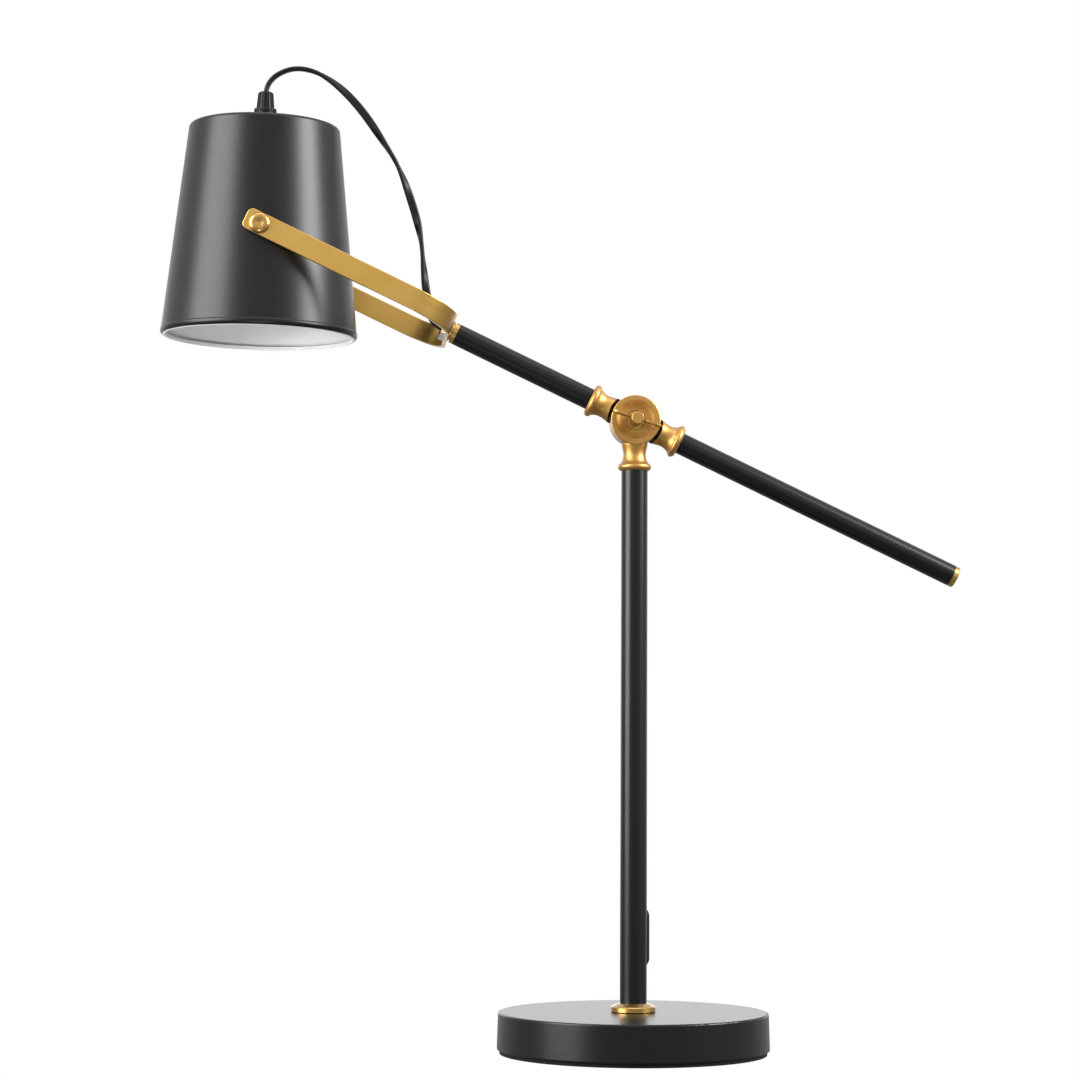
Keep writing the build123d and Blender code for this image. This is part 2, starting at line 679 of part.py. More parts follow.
# ---------------------------------------------------------------- yoke

COLLAR_BACK = PLUG_BACK - FACE_PLAY - SWIVEL_COLLAR_LENGTH

with BuildPart() as yoke_nipple:
    turn_ring(
        TO_HEAD, SWIVEL_BORE, SWIVEL_RADIUS, COLLAR_BACK - SWIVEL_TAIL, YOKE_MOUTH - BUSH_LIP
    )
keep("yoke_nipple", yoke_nipple)

with BuildPart() as swivel_collar:
    turn_ring(
        TO_HEAD, SWIVEL_RADIUS, ARM_BORE - LOOSE, COLLAR_BACK, PLUG_BACK - FACE_PLAY
    )
keep("swivel_collar", swivel_collar)

with BuildPart() as yoke_washer:
    turn_ring(
        TO_HEAD, SWIVEL_RADIUS, SWIVEL_WASHER, SWIVEL_STACK + FACE_PLAY, STRAP_FACE
    )
keep("yoke_washer", yoke_washer)

with BuildPart() as yoke_nut:
    hexagon(TO_HEAD, SWIVEL_NUT, STRAP_INNER, STRAP_INNER + SWIVEL_NUT_HEIGHT)
    turn_ring(TO_HEAD, 0, SWIVEL_RADIUS, STRAP_INNER, YOKE_MOUTH, mode=Mode.SUBTRACT)
keep("yoke_nut", yoke_nut)

with BuildPart() as nipple_bush:
    turn(
        TO_HEAD,
        (CORD_RADIUS + LOOSE, YOKE_MOUTH),
        (BUSH_FLANGE, YOKE_MOUTH),
        (BUSH_FLANGE, YOKE_MOUTH - BUSH_LIP),
        (SWIVEL_BORE, YOKE_MOUTH - BUSH_LIP),
        (SWIVEL_BORE, YOKE_MOUTH - BUSH_LIP - BUSH_DEPTH),
        (CORD_RADIUS + LOOSE, YOKE_MOUTH - BUSH_LIP - BUSH_DEPTH),
    )
keep("nipple_bush", nipple_bush)

# The strap is drawn flat on, with its own Y from the knuckle to the shade, and given its
# width afterwards.
STRAP = Plane(
    origin=KNUCKLE,
    x_dir=(0, 1, 0),
    z_dir=Vector(0, 1, 0).cross(TO_HEAD.y_dir),
)
STRAP_TIP = PIVOT_REACH + STRAP_END
YOKE_GAP = YOKE_HALF_WIDTH - STRAP_THICKNESS
with BuildPart() as yoke_strap:
    with BuildSketch(STRAP) as strap_line:
        with BuildLine():
            FilletPolyline(
                (-YOKE_HALF_WIDTH, STRAP_TIP),
                (-YOKE_HALF_WIDTH, STRAP_FACE),
                (YOKE_HALF_WIDTH, STRAP_FACE),
                (YOKE_HALF_WIDTH, STRAP_TIP),
                radius=STRAP_BEND,
            )
            Line((YOKE_HALF_WIDTH, STRAP_TIP), (YOKE_GAP, STRAP_TIP))
            FilletPolyline(
                (YOKE_GAP, STRAP_TIP),
                (YOKE_GAP, STRAP_INNER),
                (-YOKE_GAP, STRAP_INNER),
                (-YOKE_GAP, STRAP_TIP),
                radius=STRAP_BEND - STRAP_THICKNESS,
            )
            Line((-YOKE_GAP, STRAP_TIP), (-YOKE_HALF_WIDTH, STRAP_TIP))
        make_face()
    extrude(amount=STRAP_WIDTH / 2, both=True)
    strap_ends = yoke_strap.edges().filter_by(Axis.Y).sort_by_distance(PIVOT)
    fillet(strap_ends.sort_by(lambda edge: abs(edge.length - STRAP_THICKNESS))[0:4], STRAP_CORNER)
    strap_sides = yoke_strap.faces().filter_by(GeomType.PLANE).filter_by(STRAP)
    fillet(strap_sides.edges(), STRAP_EDGE)
    turn_ring(TO_HEAD, 0, SWIVEL_RADIUS, STRAP_FACE - 1, STRAP_INNER + 1, mode=Mode.SUBTRACT)
    turn_ring(
        sideways(PIVOT, 1),
        0,
        PIVOT_RADIUS + RUN_FIT,
        -YOKE_HALF_WIDTH - 1,
        YOKE_HALF_WIDTH + 1,
        mode=Mode.SUBTRACT,
    )
keep("yoke_strap", yoke_strap)

# ---------------------------------------------------------------- shade

SHADE_SLOPE = (RIM_RADIUS - TOP_RADIUS) / (RIM_DROP + TOP_RISE)


def shade_radius(height):
    """Outer radius of the shade at a height above the pivot."""
    return TOP_RADIUS + (TOP_RISE - height) * SHADE_SLOPE


CEILING = TOP_RISE - SHADE_WALL
ROLL_TOP = ROLL_HEIGHT - RIM_DROP
HEM_TOP = HEM_HEIGHT - RIM_DROP
with BuildPart() as shade:
    with BuildSketch(HEAD) as shade_profile:
        with BuildLine():
            FilletPolyline(
                (GRIP_THREAD + LOOSE, TOP_RISE),
                (TOP_RADIUS, TOP_RISE),
                (shade_radius(ROLL_TOP), ROLL_TOP),
                (shade_radius(ROLL_TOP - ROLL_STEP) + ROLL_PROUD, ROLL_TOP - ROLL_STEP),
                (RIM_RADIUS + ROLL_PROUD, -RIM_DROP),
                (RIM_RADIUS + ROLL_PROUD - ROLL_WIDTH, -RIM_DROP),
                (RIM_RADIUS + ROLL_PROUD - ROLL_WIDTH, HEM_TOP),
                (shade_radius(HEM_TOP) - SHADE_WALL, HEM_TOP),
                (shade_radius(CEILING) - SHADE_WALL, CEILING),
                (GRIP_THREAD + LOOSE, CEILING),
                radius=[
                    0, SHADE_EDGE, ROLL_STEP, ROLL_STEP, ROLL_EDGE, HEM_EDGE, HEM_EDGE, 0,
                    SHADE_EDGE - SHADE_WALL, 0,
                ],
                close=True,
            )
        make_face()
    revolve(shade_profile.sketch, axis=Axis(HEAD.origin, HEAD.y_dir))
    turn_ring(
        sideways(PIVOT, 1), 0, PIVOT_RADIUS, -YOKE_GAP, YOKE_GAP, mode=Mode.SUBTRACT
    )
keep("shade", shade)

SADDLE_FACE = shade_radius(0) - SHADE_WALL - SADDLE_DEPTH
HEAD_FACE = YOKE_HALF_WIDTH + FACE_PLAY
HEAD_TOP = HEAD_FACE + PIVOT_HEAD_HEIGHT


def add_shade_solid(inset, mode):
    """The shade as a solid cone, its wall moved in by inset, to shape what lies against it."""
    turn(
        HEAD,
        (0, CEILING),
        (shade_radius(CEILING) - inset, CEILING),
        (shade_radius(-RIM_DROP) - inset, -RIM_DROP),
        (0, -RIM_DROP),
        mode=mode,
    )


for name, side in (("front", -1), ("back", 1)):
    outward = sideways(PIVOT, side)
    with BuildPart() as pivot_screw:
        with BuildSketch(outward) as screw_profile:
            with BuildLine():
                Polyline(
                    (0, HEAD_TOP - PIVOT_DIMPLE_DEPTH),
                    (0, SADDLE_FACE - PIVOT_NUT_HEIGHT - PIVOT_TAIL),
                    (PIVOT_RADIUS, SADDLE_FACE - PIVOT_NUT_HEIGHT - PIVOT_TAIL),
                    (PIVOT_RADIUS, HEAD_FACE),
                    (PIVOT_HEAD, HEAD_FACE),
                    (PIVOT_HEAD, HEAD_FACE + PIVOT_HEAD_RIM),
                )
                Spline(
                    (PIVOT_HEAD, HEAD_FACE + PIVOT_HEAD_RIM),
                    (PIVOT_DIMPLE, HEAD_TOP),
                    (0, HEAD_TOP - PIVOT_DIMPLE_DEPTH),
                    tangents=[(-0.25, 1), (-1, 0)],
                )
            make_face()
        revolve(screw_profile.sketch, axis=Axis(outward.origin, outward.y_dir))
    keep("pivot_screw_" + name, pivot_screw)

    with BuildPart() as pivot_spacer:
        turn_ring(outward, PIVOT_RADIUS, SPACER_RADIUS, SADDLE_FACE, YOKE_GAP - FACE_PLAY)
        add_shade_solid(0, Mode.SUBTRACT)
    keep("pivot_spacer_" + name, pivot_spacer)

    with BuildPart() as pivot_saddle:
        turn_ring(outward, PIVOT_RADIUS, SADDLE_RADIUS, SADDLE_FACE, YOKE_GAP)
        add_shade_solid(SHADE_WALL, Mode.INTERSECT)
    keep("pivot_saddle_" + name, pivot_saddle)

    with BuildPart() as pivot_nut:
        hexagon(outward, PIVOT_NUT, SADDLE_FACE - PIVOT_NUT_HEIGHT, SADDLE_FACE)
        turn_ring(outward, 0, PIVOT_RADIUS, 0, YOKE_GAP, mode=Mode.SUBTRACT)
    keep("pivot_nut_" + name, pivot_nut)

# ---------------------------------------------------------------- cord grip

HUB_BOTTOM = CEILING - HOLDER_HUB_HEIGHT
GRIP_NUT_TOP = TOP_RISE + GRIP_NUT_HEIGHT
GRIP_BODY_TOP = GRIP_NUT_TOP + GRIP_BODY_HEIGHT
GRIP_RING_TOP = GRIP_BODY_TOP + GRIP_RING_HEIGHT
GRIP_TOP = GRIP_RING_TOP + GRIP_CONE_HEIGHT
GRIP_STUD_TOP = GRIP_RING_TOP + GRIP_STUD

with BuildPart() as grip_body:
    hexagon(HEAD, GRIP_NUT, TOP_RISE, GRIP_NUT_TOP)
    turn_ring(HEAD, 0, GRIP_BODY_RADIUS, GRIP_NUT_TOP, GRIP_BODY_TOP)
    turn_ring(HEAD, 0, GRIP_THREAD, HUB_BOTTOM, GRIP_STUD_TOP)
    turn_ring(HEAD, 0, GRIP_BORE, HUB_BOTTOM, GRIP_STUD_TOP, mode=Mode.SUBTRACT)
keep("grip_body", grip_body)

with BuildPart() as grip_ring:
    with BuildSketch(across(HEAD, GRIP_BODY_TOP)) as ring_outline:
        Circle(GRIP_RING_RADIUS)
        with PolarLocations(GRIP_RING_RADIUS, GRIP_RING_NOTCHES):
            Circle(GRIP_RING_NOTCH, mode=Mode.SUBTRACT)
        Circle(GRIP_THREAD, mode=Mode.SUBTRACT)
    extrude(amount=GRIP_RING_HEIGHT)
keep("grip_ring", grip_ring)

with BuildPart() as grip_cap:
    with BuildSketch(across(HEAD, GRIP_RING_TOP)) as rib_outline:
        Circle(GRIP_CONE_TOP - GRIP_RIB_DEPTH)
        for index in range(GRIP_RIBS):
            Rectangle(3 * GRIP_CONE_BASE, GRIP_RIB_WIDTH, rotation=index * 180 / GRIP_RIBS)
    extrude(amount=GRIP_CONE_HEIGHT)
    turn(
        HEAD,
        (0, GRIP_RING_TOP),
        (GRIP_CONE_BASE, GRIP_RING_TOP),
        (GRIP_CONE_TOP, GRIP_TOP - GRIP_CONE_EDGE),
        (GRIP_CONE_TOP - GRIP_CONE_EDGE, GRIP_TOP),
        (0, GRIP_TOP),
        mode=Mode.INTERSECT,
    )
    turn(
        HEAD,
        (0, GRIP_RING_TOP),
        (GRIP_CONE_BASE - GRIP_RIB_DEPTH, GRIP_RING_TOP),
        (GRIP_CONE_TOP - GRIP_RIB_DEPTH, GRIP_TOP - GRIP_CONE_EDGE),
        (GRIP_CONE_TOP - GRIP_CONE_EDGE - GRIP_RIB_DEPTH, GRIP_TOP - GRIP_RIB_DEPTH),
        (0, GRIP_TOP - GRIP_RIB_DEPTH),
    )
    turn(
        HEAD,
        (0, GRIP_RING_TOP),
        (GRIP_THREAD, GRIP_RING_TOP),
        (GRIP_THREAD, GRIP_STUD_TOP),
        (GRIP_BORE, GRIP_STUD_TOP),
        (GRIP_BORE, GRIP_TOP - GRIP_MOUTH_DEPTH),
        (GRIP_CONE_TOP - GRIP_CONE_EDGE - GRIP_RIB_DEPTH, GRIP_TOP),
        (0, GRIP_TOP),
        mode=Mode.SUBTRACT,
    )
keep("grip_cap", grip_cap)

# ---------------------------------------------------------------- lampholder

CAP_BOTTOM = HUB_BOTTOM - HOLDER_CAP_HEIGHT
SHELL_BOTTOM = CAP_BOTTOM - HOLDER_LENGTH
SLEEVE_RADIUS = SHELL_BORE + SHELL_WALL
CORE_TOP = CAP_BOTTOM + HOLDER_CORE
SLEEVE_TOP = CAP_BOTTOM - SLEEVE_DROP

with BuildPart() as holder_cap:
    turn(
        HEAD,
        (GRIP_THREAD, CEILING),
        (HOLDER_HUB, CEILING),
        (HOLDER_HUB, HUB_BOTTOM),
        (HOLDER_RADIUS, HUB_BOTTOM),
        (HOLDER_RADIUS, CAP_BOTTOM),
        (HOLDER_RADIUS - HOLDER_WALL, CAP_BOTTOM),
        (HOLDER_RADIUS - HOLDER_WALL, HUB_BOTTOM - HOLDER_WALL),
        (GRIP_THREAD, HUB_BOTTOM - HOLDER_WALL),
    )
keep("holder_cap", holder_cap)

with BuildPart() as holder_core:
    turn_ring(HEAD, CONTACT_STEM, HOLDER_RADIUS - HOLDER_WALL, CAP_BOTTOM, CORE_TOP)
keep("holder_core", holder_core)

with BuildPart() as holder_shell:
    turn_ring(HEAD, SLEEVE_RADIUS, HOLDER_RADIUS, SHELL_BOTTOM, CAP_BOTTOM)
keep("holder_shell", holder_shell)

with BuildPart() as thread_sleeve:
    turn_ring(HEAD, SHELL_BORE, SLEEVE_RADIUS, SLEEVE_TOP - SLEEVE_LENGTH, SLEEVE_TOP)
keep("thread_sleeve", thread_sleeve)

with BuildPart() as centre_contact:
    turn(
        HEAD,
        (0, CAP_BOTTOM - CONTACT_THICKNESS),
        (CONTACT_RADIUS, CAP_BOTTOM - CONTACT_THICKNESS),
        (CONTACT_RADIUS, CAP_BOTTOM),
        (CONTACT_STEM, CAP_BOTTOM),
        (CONTACT_STEM, CORE_TOP),
        (0, CORE_TOP),
    )
keep("centre_contact", centre_contact)

LEAD_TOP = GRIP_TOP - GRIP_MOUTH_DEPTH - 1
with BuildPart() as holder_lead:
    turn_ring(HEAD, 0, WIRE_RADIUS, CORE_TOP, LEAD_TOP)
keep("holder_lead", holder_lead)

# ---------------------------------------------------------------- wires and cord

WIRE_BEND = 6 * WIRE_RADIUS
WIRE_FLOOR = PAD_THICKNESS + WIRE_RADIUS + WIRE_GAP
WIRE_OFFSET = PARTING + WIRE_RADIUS + WIRE_GAP  # from the parting plane, inside the knuckle
WIRE_LOW = SWITCH_HEIGHT - SWITCH_BODY_LENGTH / 2
WIRE_HIGH = KNUCKLE_HEIGHT - NECK_LENGTH - SPIGOT_LENGTH


def run_wire(radius, route, bends):
    """A round wire along straight runs, with a bend radius at each inner point."""
    with BuildLine() as path:
        FilletPolyline(*route, radius=bends)
    with BuildSketch(Plane(origin=path.wire() @ 0, z_dir=path.wire() % 0)) as cut:
        Circle(radius)
    sweep(cut.sketch, path=path.wire())


def rounded(route):
    """Bend radii that round each corner of a route as far as its shorter run allows."""
    radii = []
    for before, here, after in zip(route, route[1:], route[2:]):
        arriving = Vector(here) - Vector(before)
        leaving = Vector(after) - Vector(here)
        half_turn = radians(arriving.get_angle(leaving)) / 2
        radii.append(0.45 * min(arriving.length, leaving.length) / tan(half_turn))
    return radii


post_route = [
    (0, INLET_FACE + INLET_NOSE - 1, INLET_HEIGHT),
    (0, WIRE_RAMP[0] * BASE_RADIUS, INLET_HEIGHT),
    (0, WIRE_RAMP[1] * BASE_RADIUS, WIRE_FLOOR),
    (0, 0, WIRE_FLOOR),
    (0, 0, WIRE_LOW - WIRE_STEP),
    (-WIRE_SIDE * FACING[0], -WIRE_SIDE * FACING[1], WIRE_LOW),
    (-WIRE_SIDE * FACING[0], -WIRE_SIDE * FACING[1], WIRE_HIGH - 2 * WIRE_STEP),
    (0, -WIRE_OFFSET, WIRE_HIGH - WIRE_STEP / 2),
    (0, -WIRE_OFFSET, KNUCKLE_HEIGHT - WIRE_END),
]
with BuildPart() as post_wire:
    run_wire(WIRE_RADIUS, post_route, WIRE_BEND)
keep("post_wire", post_wire)

ARM_WIRE_END = YOKE_MOUTH - BUSH_LIP - BUSH_DEPTH - 0.5


def on_arm(distance, side):
    return TO_HEAD.origin + TO_HEAD.y_dir * distance + Vector(0, side, 0)


arm_route = [
    on_arm(WIRE_END, WIRE_OFFSET),
    on_arm(NECK_LENGTH + 6, WIRE_OFFSET),
    on_arm(2 * NECK_LENGTH, 0),
    on_arm(ARM_WIRE_END, 0),
]
with BuildPart() as arm_wire:
    run_wire(WIRE_RADIUS, arm_route, WIRE_BEND)
keep("arm_wire", arm_wire)

# The loose cord stands up out of its grip, bends over, hangs and enters the swivel.


def past_grip(aside, above):
    """A point of the cord, aside from the grip's axis and above its mouth."""
    return HEAD.origin + HEAD.x_dir * aside + HEAD.y_dir * (GRIP_TOP + above)


def past_mouth(ahead, above):
    """A point of the cord, ahead of the swivel's mouth and above the arm's axis."""
    return TO_HEAD.origin + TO_HEAD.y_dir * (YOKE_MOUTH + ahead) + TO_HEAD.x_dir * above


cord_route = [
    past_grip(0, -GRIP_MOUTH_DEPTH),
    past_grip(0, 2.0),
    past_grip(2.7, 7.6),
    past_grip(7.8, 12.1),
    past_grip(16.1, 15.4),
    past_grip(25.2, 15.0),
    past_grip(34.9, 11.5),
    past_grip(46.6, 3.2),
    past_grip(58.4, -9.1),
    past_grip(69.9, -25.2),
    past_mouth(65.7, 76.7),
    past_mouth(50.0, 61.4),
    past_mouth(35.9, 45.3),
    past_mouth(25.2, 27.5),
    past_mouth(17.3, 14.5),
    past_mouth(10.8, 7.0),
    past_mouth(6.4, 0),
    past_mouth(0.5 - BUSH_LIP - BUSH_DEPTH, 0),
]
cord_radii = rounded(cord_route)
with BuildPart() as head_cord:
    run_wire(CORD_RADIUS, cord_route, cord_radii)
keep("head_cord", head_cord)

# ---------------------------------------------------------------- output

os.makedirs("parts", exist_ok=True)
for name, piece in pieces.items():
    export_step(piece, "parts/" + name + ".step")
    print(name, len(piece.solids()), piece.is_valid, round(piece.volume / 1000, 2))
print("pieces", len(pieces))
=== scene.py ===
# %% [markdown]
# # A balance-arm desk lamp
# The lamp stands on a round, weighted base. Its post carries a clamp knuckle, and the knuckle holds an arm
# with the shade at one end and a counterweight hidden in the other. A bent brass strap, the yoke, holds the
# shade by two pivot screws, and a loose flat cord runs from the arm's end into the top of the shade.
#
# The rigid pieces are already modelled: the frame brings each one as a finished mesh in its place. This
# lesson dresses them. It gives every piece its finish, makes the cord, which is the one soft piece, and
# then sets up the camera and the light. Lengths are in metres and Z is up. The shade is at -X, and the
# camera stands at -Y.

# %% Load the lamp's pieces
import bpy
import json
import math

from mathutils import Matrix, Vector


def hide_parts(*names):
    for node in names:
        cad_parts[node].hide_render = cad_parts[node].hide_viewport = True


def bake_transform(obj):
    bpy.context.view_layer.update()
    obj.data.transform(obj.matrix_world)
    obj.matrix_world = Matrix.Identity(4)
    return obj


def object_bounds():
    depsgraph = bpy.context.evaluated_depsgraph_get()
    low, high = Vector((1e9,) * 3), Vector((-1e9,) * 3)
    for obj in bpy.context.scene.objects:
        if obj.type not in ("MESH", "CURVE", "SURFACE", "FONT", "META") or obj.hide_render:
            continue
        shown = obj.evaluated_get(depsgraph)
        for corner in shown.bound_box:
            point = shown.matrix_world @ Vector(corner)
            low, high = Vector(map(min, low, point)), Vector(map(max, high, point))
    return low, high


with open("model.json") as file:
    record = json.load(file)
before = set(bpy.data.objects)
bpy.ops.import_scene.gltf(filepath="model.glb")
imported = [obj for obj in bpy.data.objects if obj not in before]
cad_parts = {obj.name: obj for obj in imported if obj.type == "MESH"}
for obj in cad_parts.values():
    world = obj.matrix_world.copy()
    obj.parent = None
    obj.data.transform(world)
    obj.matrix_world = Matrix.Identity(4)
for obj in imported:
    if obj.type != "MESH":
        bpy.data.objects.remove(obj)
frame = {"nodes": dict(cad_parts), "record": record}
cad_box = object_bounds()
print("pieces in the frame:", len(frame["nodes"]))

# %% [markdown]
# ## The lamp's centre lines
# A lamp like this is drawn from its centre lines. The arm slopes through the knuckle's centre, and the
# pivot on which the shade tips lies on the arm's line. These places could be read off the meshes, but then
# nobody could see what they mean. So they are written as the angles and lengths of a drawing, and the
# finishes and the cord are placed from them.

# %% Centre lines
ARM_SLOPE = math.radians(25.4)
SHADE_LEAN = math.radians(1.0)
KNUCKLE_HEIGHT = 0.3779
PIVOT_ALONG_ARM = 0.2494

KNUCKLE = Vector((0, 0, KNUCKLE_HEIGHT))
TO_HEAD = Vector((-math.cos(ARM_SLOPE), 0, math.sin(ARM_SLOPE)))
STRAP_ACROSS = Vector((math.sin(ARM_SLOPE), 0, math.cos(ARM_SLOPE)))
SHADE_AXIS = Vector((math.sin(SHADE_LEAN), 0, math.cos(SHADE_LEAN)))
SHADE_ACROSS = Vector((math.cos(SHADE_LEAN), 0, -math.sin(SHADE_LEAN)))
PIVOT = KNUCKLE + PIVOT_ALONG_ARM * TO_HEAD
print(f"shade's pivot: {-PIVOT.x * 1000:.1f} mm out from the post, {PIVOT.z * 1000:.1f} mm up")

# %% [markdown]
# ## Tools for the finishes
# A finish is a small network of shader nodes. It could be built in the shader editor, but a script says it
# again in the same way each time. Colours are written as sRGB hex, as on a paint chart, and one function
# turns them into the linear values that a renderer reckons with. One more function adds a node, sets it up
# and links what feeds it.

# %% Colours and nodes
def linear(hex_colour):
    """An sRGB colour such as "C9A353" as linear RGBA."""
    channels = []
    for start in (0, 2, 4):
        value = int(hex_colour[start : start + 2], 16) / 255
        value = value / 12.92 if value <= 0.04045 else ((value + 0.055) / 1.055) ** 2.4
        channels.append(value)
    return (*channels, 1.0)


def add_node(tree, kind, inputs=None, **settings):
    """Add a node. Each input, by name or number, gets a value or the socket that feeds it."""
    node = tree.nodes.new("ShaderNode" + kind)
    for key, value in settings.items():
        setattr(node, key, value)
    for key, value in (inputs or {}).items():
        if isinstance(value, bpy.types.NodeSocket):
            tree.links.new(value, node.inputs[key])
        else:
            node.inputs[key].default_value = value
    return node


def start_finish(name):
    """A new material with an empty node tree, and the coordinates of the piece that wears it."""
    material = bpy.data.materials.new(name)
    material.use_nodes = True
    tree = material.node_tree
    tree.nodes.clear()
    return material, tree, add_node(tree, "TexCoord")


# %% [markdown]
# ## Patterns by their size
# Nearly every pattern here is noise: soft blots of one size. The noise texture counts them per metre, while
# a maker thinks of how wide one is, so the scale is worked out from millimetres. The noise stays near its
# middle value, and the range below stretches the part that it really uses over a whole finish.

# %% Pattern sizes
NOISE_RANGE = {"From Min": 0.3, "From Max": 0.7}


def blots_per_metre(millimetres):
    """The noise scale that gives blots of this width, as a whole number."""
    return round(1000 / millimetres)


FINISHES = {}

# %% [markdown]
# ## Satin black powder coat
# The base, the post and the arm are steel, sprayed with dry black powder and baked. The powder melts into a
# film with a fine, low grain, so the eye sees a near black with a soft, broad sheen. A plain dark colour
# would look like a hole in the picture. So a large faint cloud varies the black, and one fine grain drives
# both the roughness and a very low bump, as the one film does. The real grain is a few tenths of a
# millimetre wide, too fine for the picture, and is drawn a little coarser. The film is a polymer, so it
# keeps the usual IOR of 1.5, and its reflection is weakened to match the lamp.

# %% The powder film
COAT_CLOUD_MM = 16.7
COAT_GRAIN_MM = 0.5556
COAT_GRAIN_HEIGHT = 0.000003
COAT_REFLECTION = 0.25


def powder_coat(tree, place, smooth, rough):
    """The sockets that give the film's colour, roughness and normal."""
    cloud = add_node(
        tree, "TexNoise", {"Vector": place, "Scale": blots_per_metre(COAT_CLOUD_MM), "Detail": 3}
    )
    grain = add_node(
        tree, "TexNoise", {"Vector": place, "Scale": blots_per_metre(COAT_GRAIN_MM), "Detail": 2}
    )
    colour = add_node(
        tree,
        "Mix",
        {0: cloud.outputs["Fac"], 6: linear("040404"), 7: linear("060606")},
        data_type="RGBA",
    )
    roughness = add_node(
        tree,
        "MapRange",
        {"Value": grain.outputs["Fac"], **NOISE_RANGE, "To Min": smooth, "To Max": rough},
    )
    normal = add_node(
        tree,
        "Bump",
        {"Height": grain.outputs["Fac"], "Distance": COAT_GRAIN_HEIGHT, "Strength": 0.2},
    )
    return colour.outputs[2], roughness.outputs["Result"], normal.outputs["Normal"]


# %% Powder-coated steel
def powder_coated_steel():
    material, tree, coordinates = start_finish("powder_coated_steel")
    colour, roughness, normal = powder_coat(
        tree, coordinates.outputs["Object"], smooth=0.27, rough=0.31
    )
    shader = add_node(
        tree,
        "BsdfPrincipled",
        {
            "Base Color": colour,
            "Roughness": roughness,
            "Normal": normal,
            "Specular IOR Level": COAT_REFLECTION,
        },
    )
    add_node(tree, "OutputMaterial", {"Surface": shader.outputs["BSDF"]})
    return material


FINISHES["satin_black"] = powder_coated_steel()
print("finish made:", FINISHES["satin_black"].name)

# %% [markdown]
# ## The shade, black outside and white inside
# The shade is thin steel with the black coat outside, a little duller than on the post, and white enamel
# inside to throw the light down. The white could be a second material on some of the faces, but the solid's
# mesh stays as it came. So the material finds out for itself where it is. A surface that faces away from
# the shade's axis, or up, is outside and black. All the rest is white, down to the underside of the rolled
# rim.

# %% Which side of the shade
BLACK_FROM = 0.40
BLACK_TO = 0.46
UP_WEIGHT = 0.9
ENAMEL_CLOUD_MM = 28.6


def outside_of_shade(tree, coordinates):
    """A socket that is 1 on the outside of the shade and 0 on the inside."""
    facing = coordinates.outputs["Normal"]
    offset = add_node(
        tree, "VectorMath", {0: coordinates.outputs["Object"], 1: tuple(PIVOT)}, operation="SUBTRACT"
    )
    level = add_node(tree, "VectorMath", {0: offset.outputs[0], 1: (1, 1, 0)}, operation="MULTIPLY")
    outward = add_node(tree, "VectorMath", {0: level.outputs[0]}, operation="NORMALIZE")
    side = add_node(tree, "VectorMath", {0: outward.outputs[0], 1: facing}, operation="DOT_PRODUCT")
    up = add_node(tree, "VectorMath", {0: facing, 1: tuple(SHADE_AXIS)}, operation="DOT_PRODUCT")
    up_share = add_node(tree, "Math", {0: up.outputs["Value"], 1: UP_WEIGHT}, operation="MULTIPLY")
    outside = add_node(
        tree, "Math", {0: side.outputs["Value"], 1: up_share.outputs[0]}, operation="MAXIMUM"
    )
    return add_node(
        tree,
        "MapRange",
        {"Value": outside.outputs[0], "From Min": BLACK_FROM, "From Max": BLACK_TO},
    ).outputs["Result"]


# %% Coated and enamelled steel
def coated_and_enamelled_steel():
    material, tree, coordinates = start_finish("coated_and_enamelled_steel")
    place = coordinates.outputs["Object"]
    is_black = outside_of_shade(tree, coordinates)
    black, black_roughness, normal = powder_coat(tree, place, smooth=0.33, rough=0.37)
    cloud = add_node(
        tree, "TexNoise", {"Vector": place, "Scale": blots_per_metre(ENAMEL_CLOUD_MM), "Detail": 2}
    )
    white = add_node(
        tree,
        "Mix",
        {0: cloud.outputs["Fac"], 6: linear("F0F0EF"), 7: linear("F6F6F5")},
        data_type="RGBA",
    )
    colour = add_node(tree, "Mix", {0: is_black, 6: white.outputs[2], 7: black}, data_type="RGBA")
    roughness = add_node(tree, "Mix", {0: is_black, 2: 0.45, 3: black_roughness}, data_type="FLOAT")
    shader = add_node(
        tree,
        "BsdfPrincipled",
        {
            "Base Color": colour.outputs[2],
            "Roughness": roughness.outputs[0],
            "Normal": normal,
            "Specular IOR Level": COAT_REFLECTION,
        },
    )
    add_node(tree, "OutputMaterial", {"Surface": shader.outputs["BSDF"]})
    return material


FINISHES["shade_black"] = coated_and_enamelled_steel()
print("finish made:", FINISHES["shade_black"].name)

# %% [markdown]
# ## Brushed brass
# The yoke is a flat brass strap, brushed along its length and lacquered. Brushing leaves long fine
# scratches, which spread a highlight across them and give the strap its silky gleam. They are made by noise
# that is squeezed across the strap and drawn out along it. Adding the two directions that the strap runs
# in, along the arm and across the lamp, carries the scratches round its bends. Real scratches are some
# hundredths of a millimetre apart, too fine to show, and are drawn a quarter of a millimetre apart. The
# lacquer is a thin clear coat, which adds a paler highlight of its own.

# %% Brushed brass
SCRATCH_APART_MM = 0.2381
SCRATCH_LONG_MM = 45.5
STRAP_CLOUD_MM = 22.2
SCRATCH_DEPTH = 0.00001


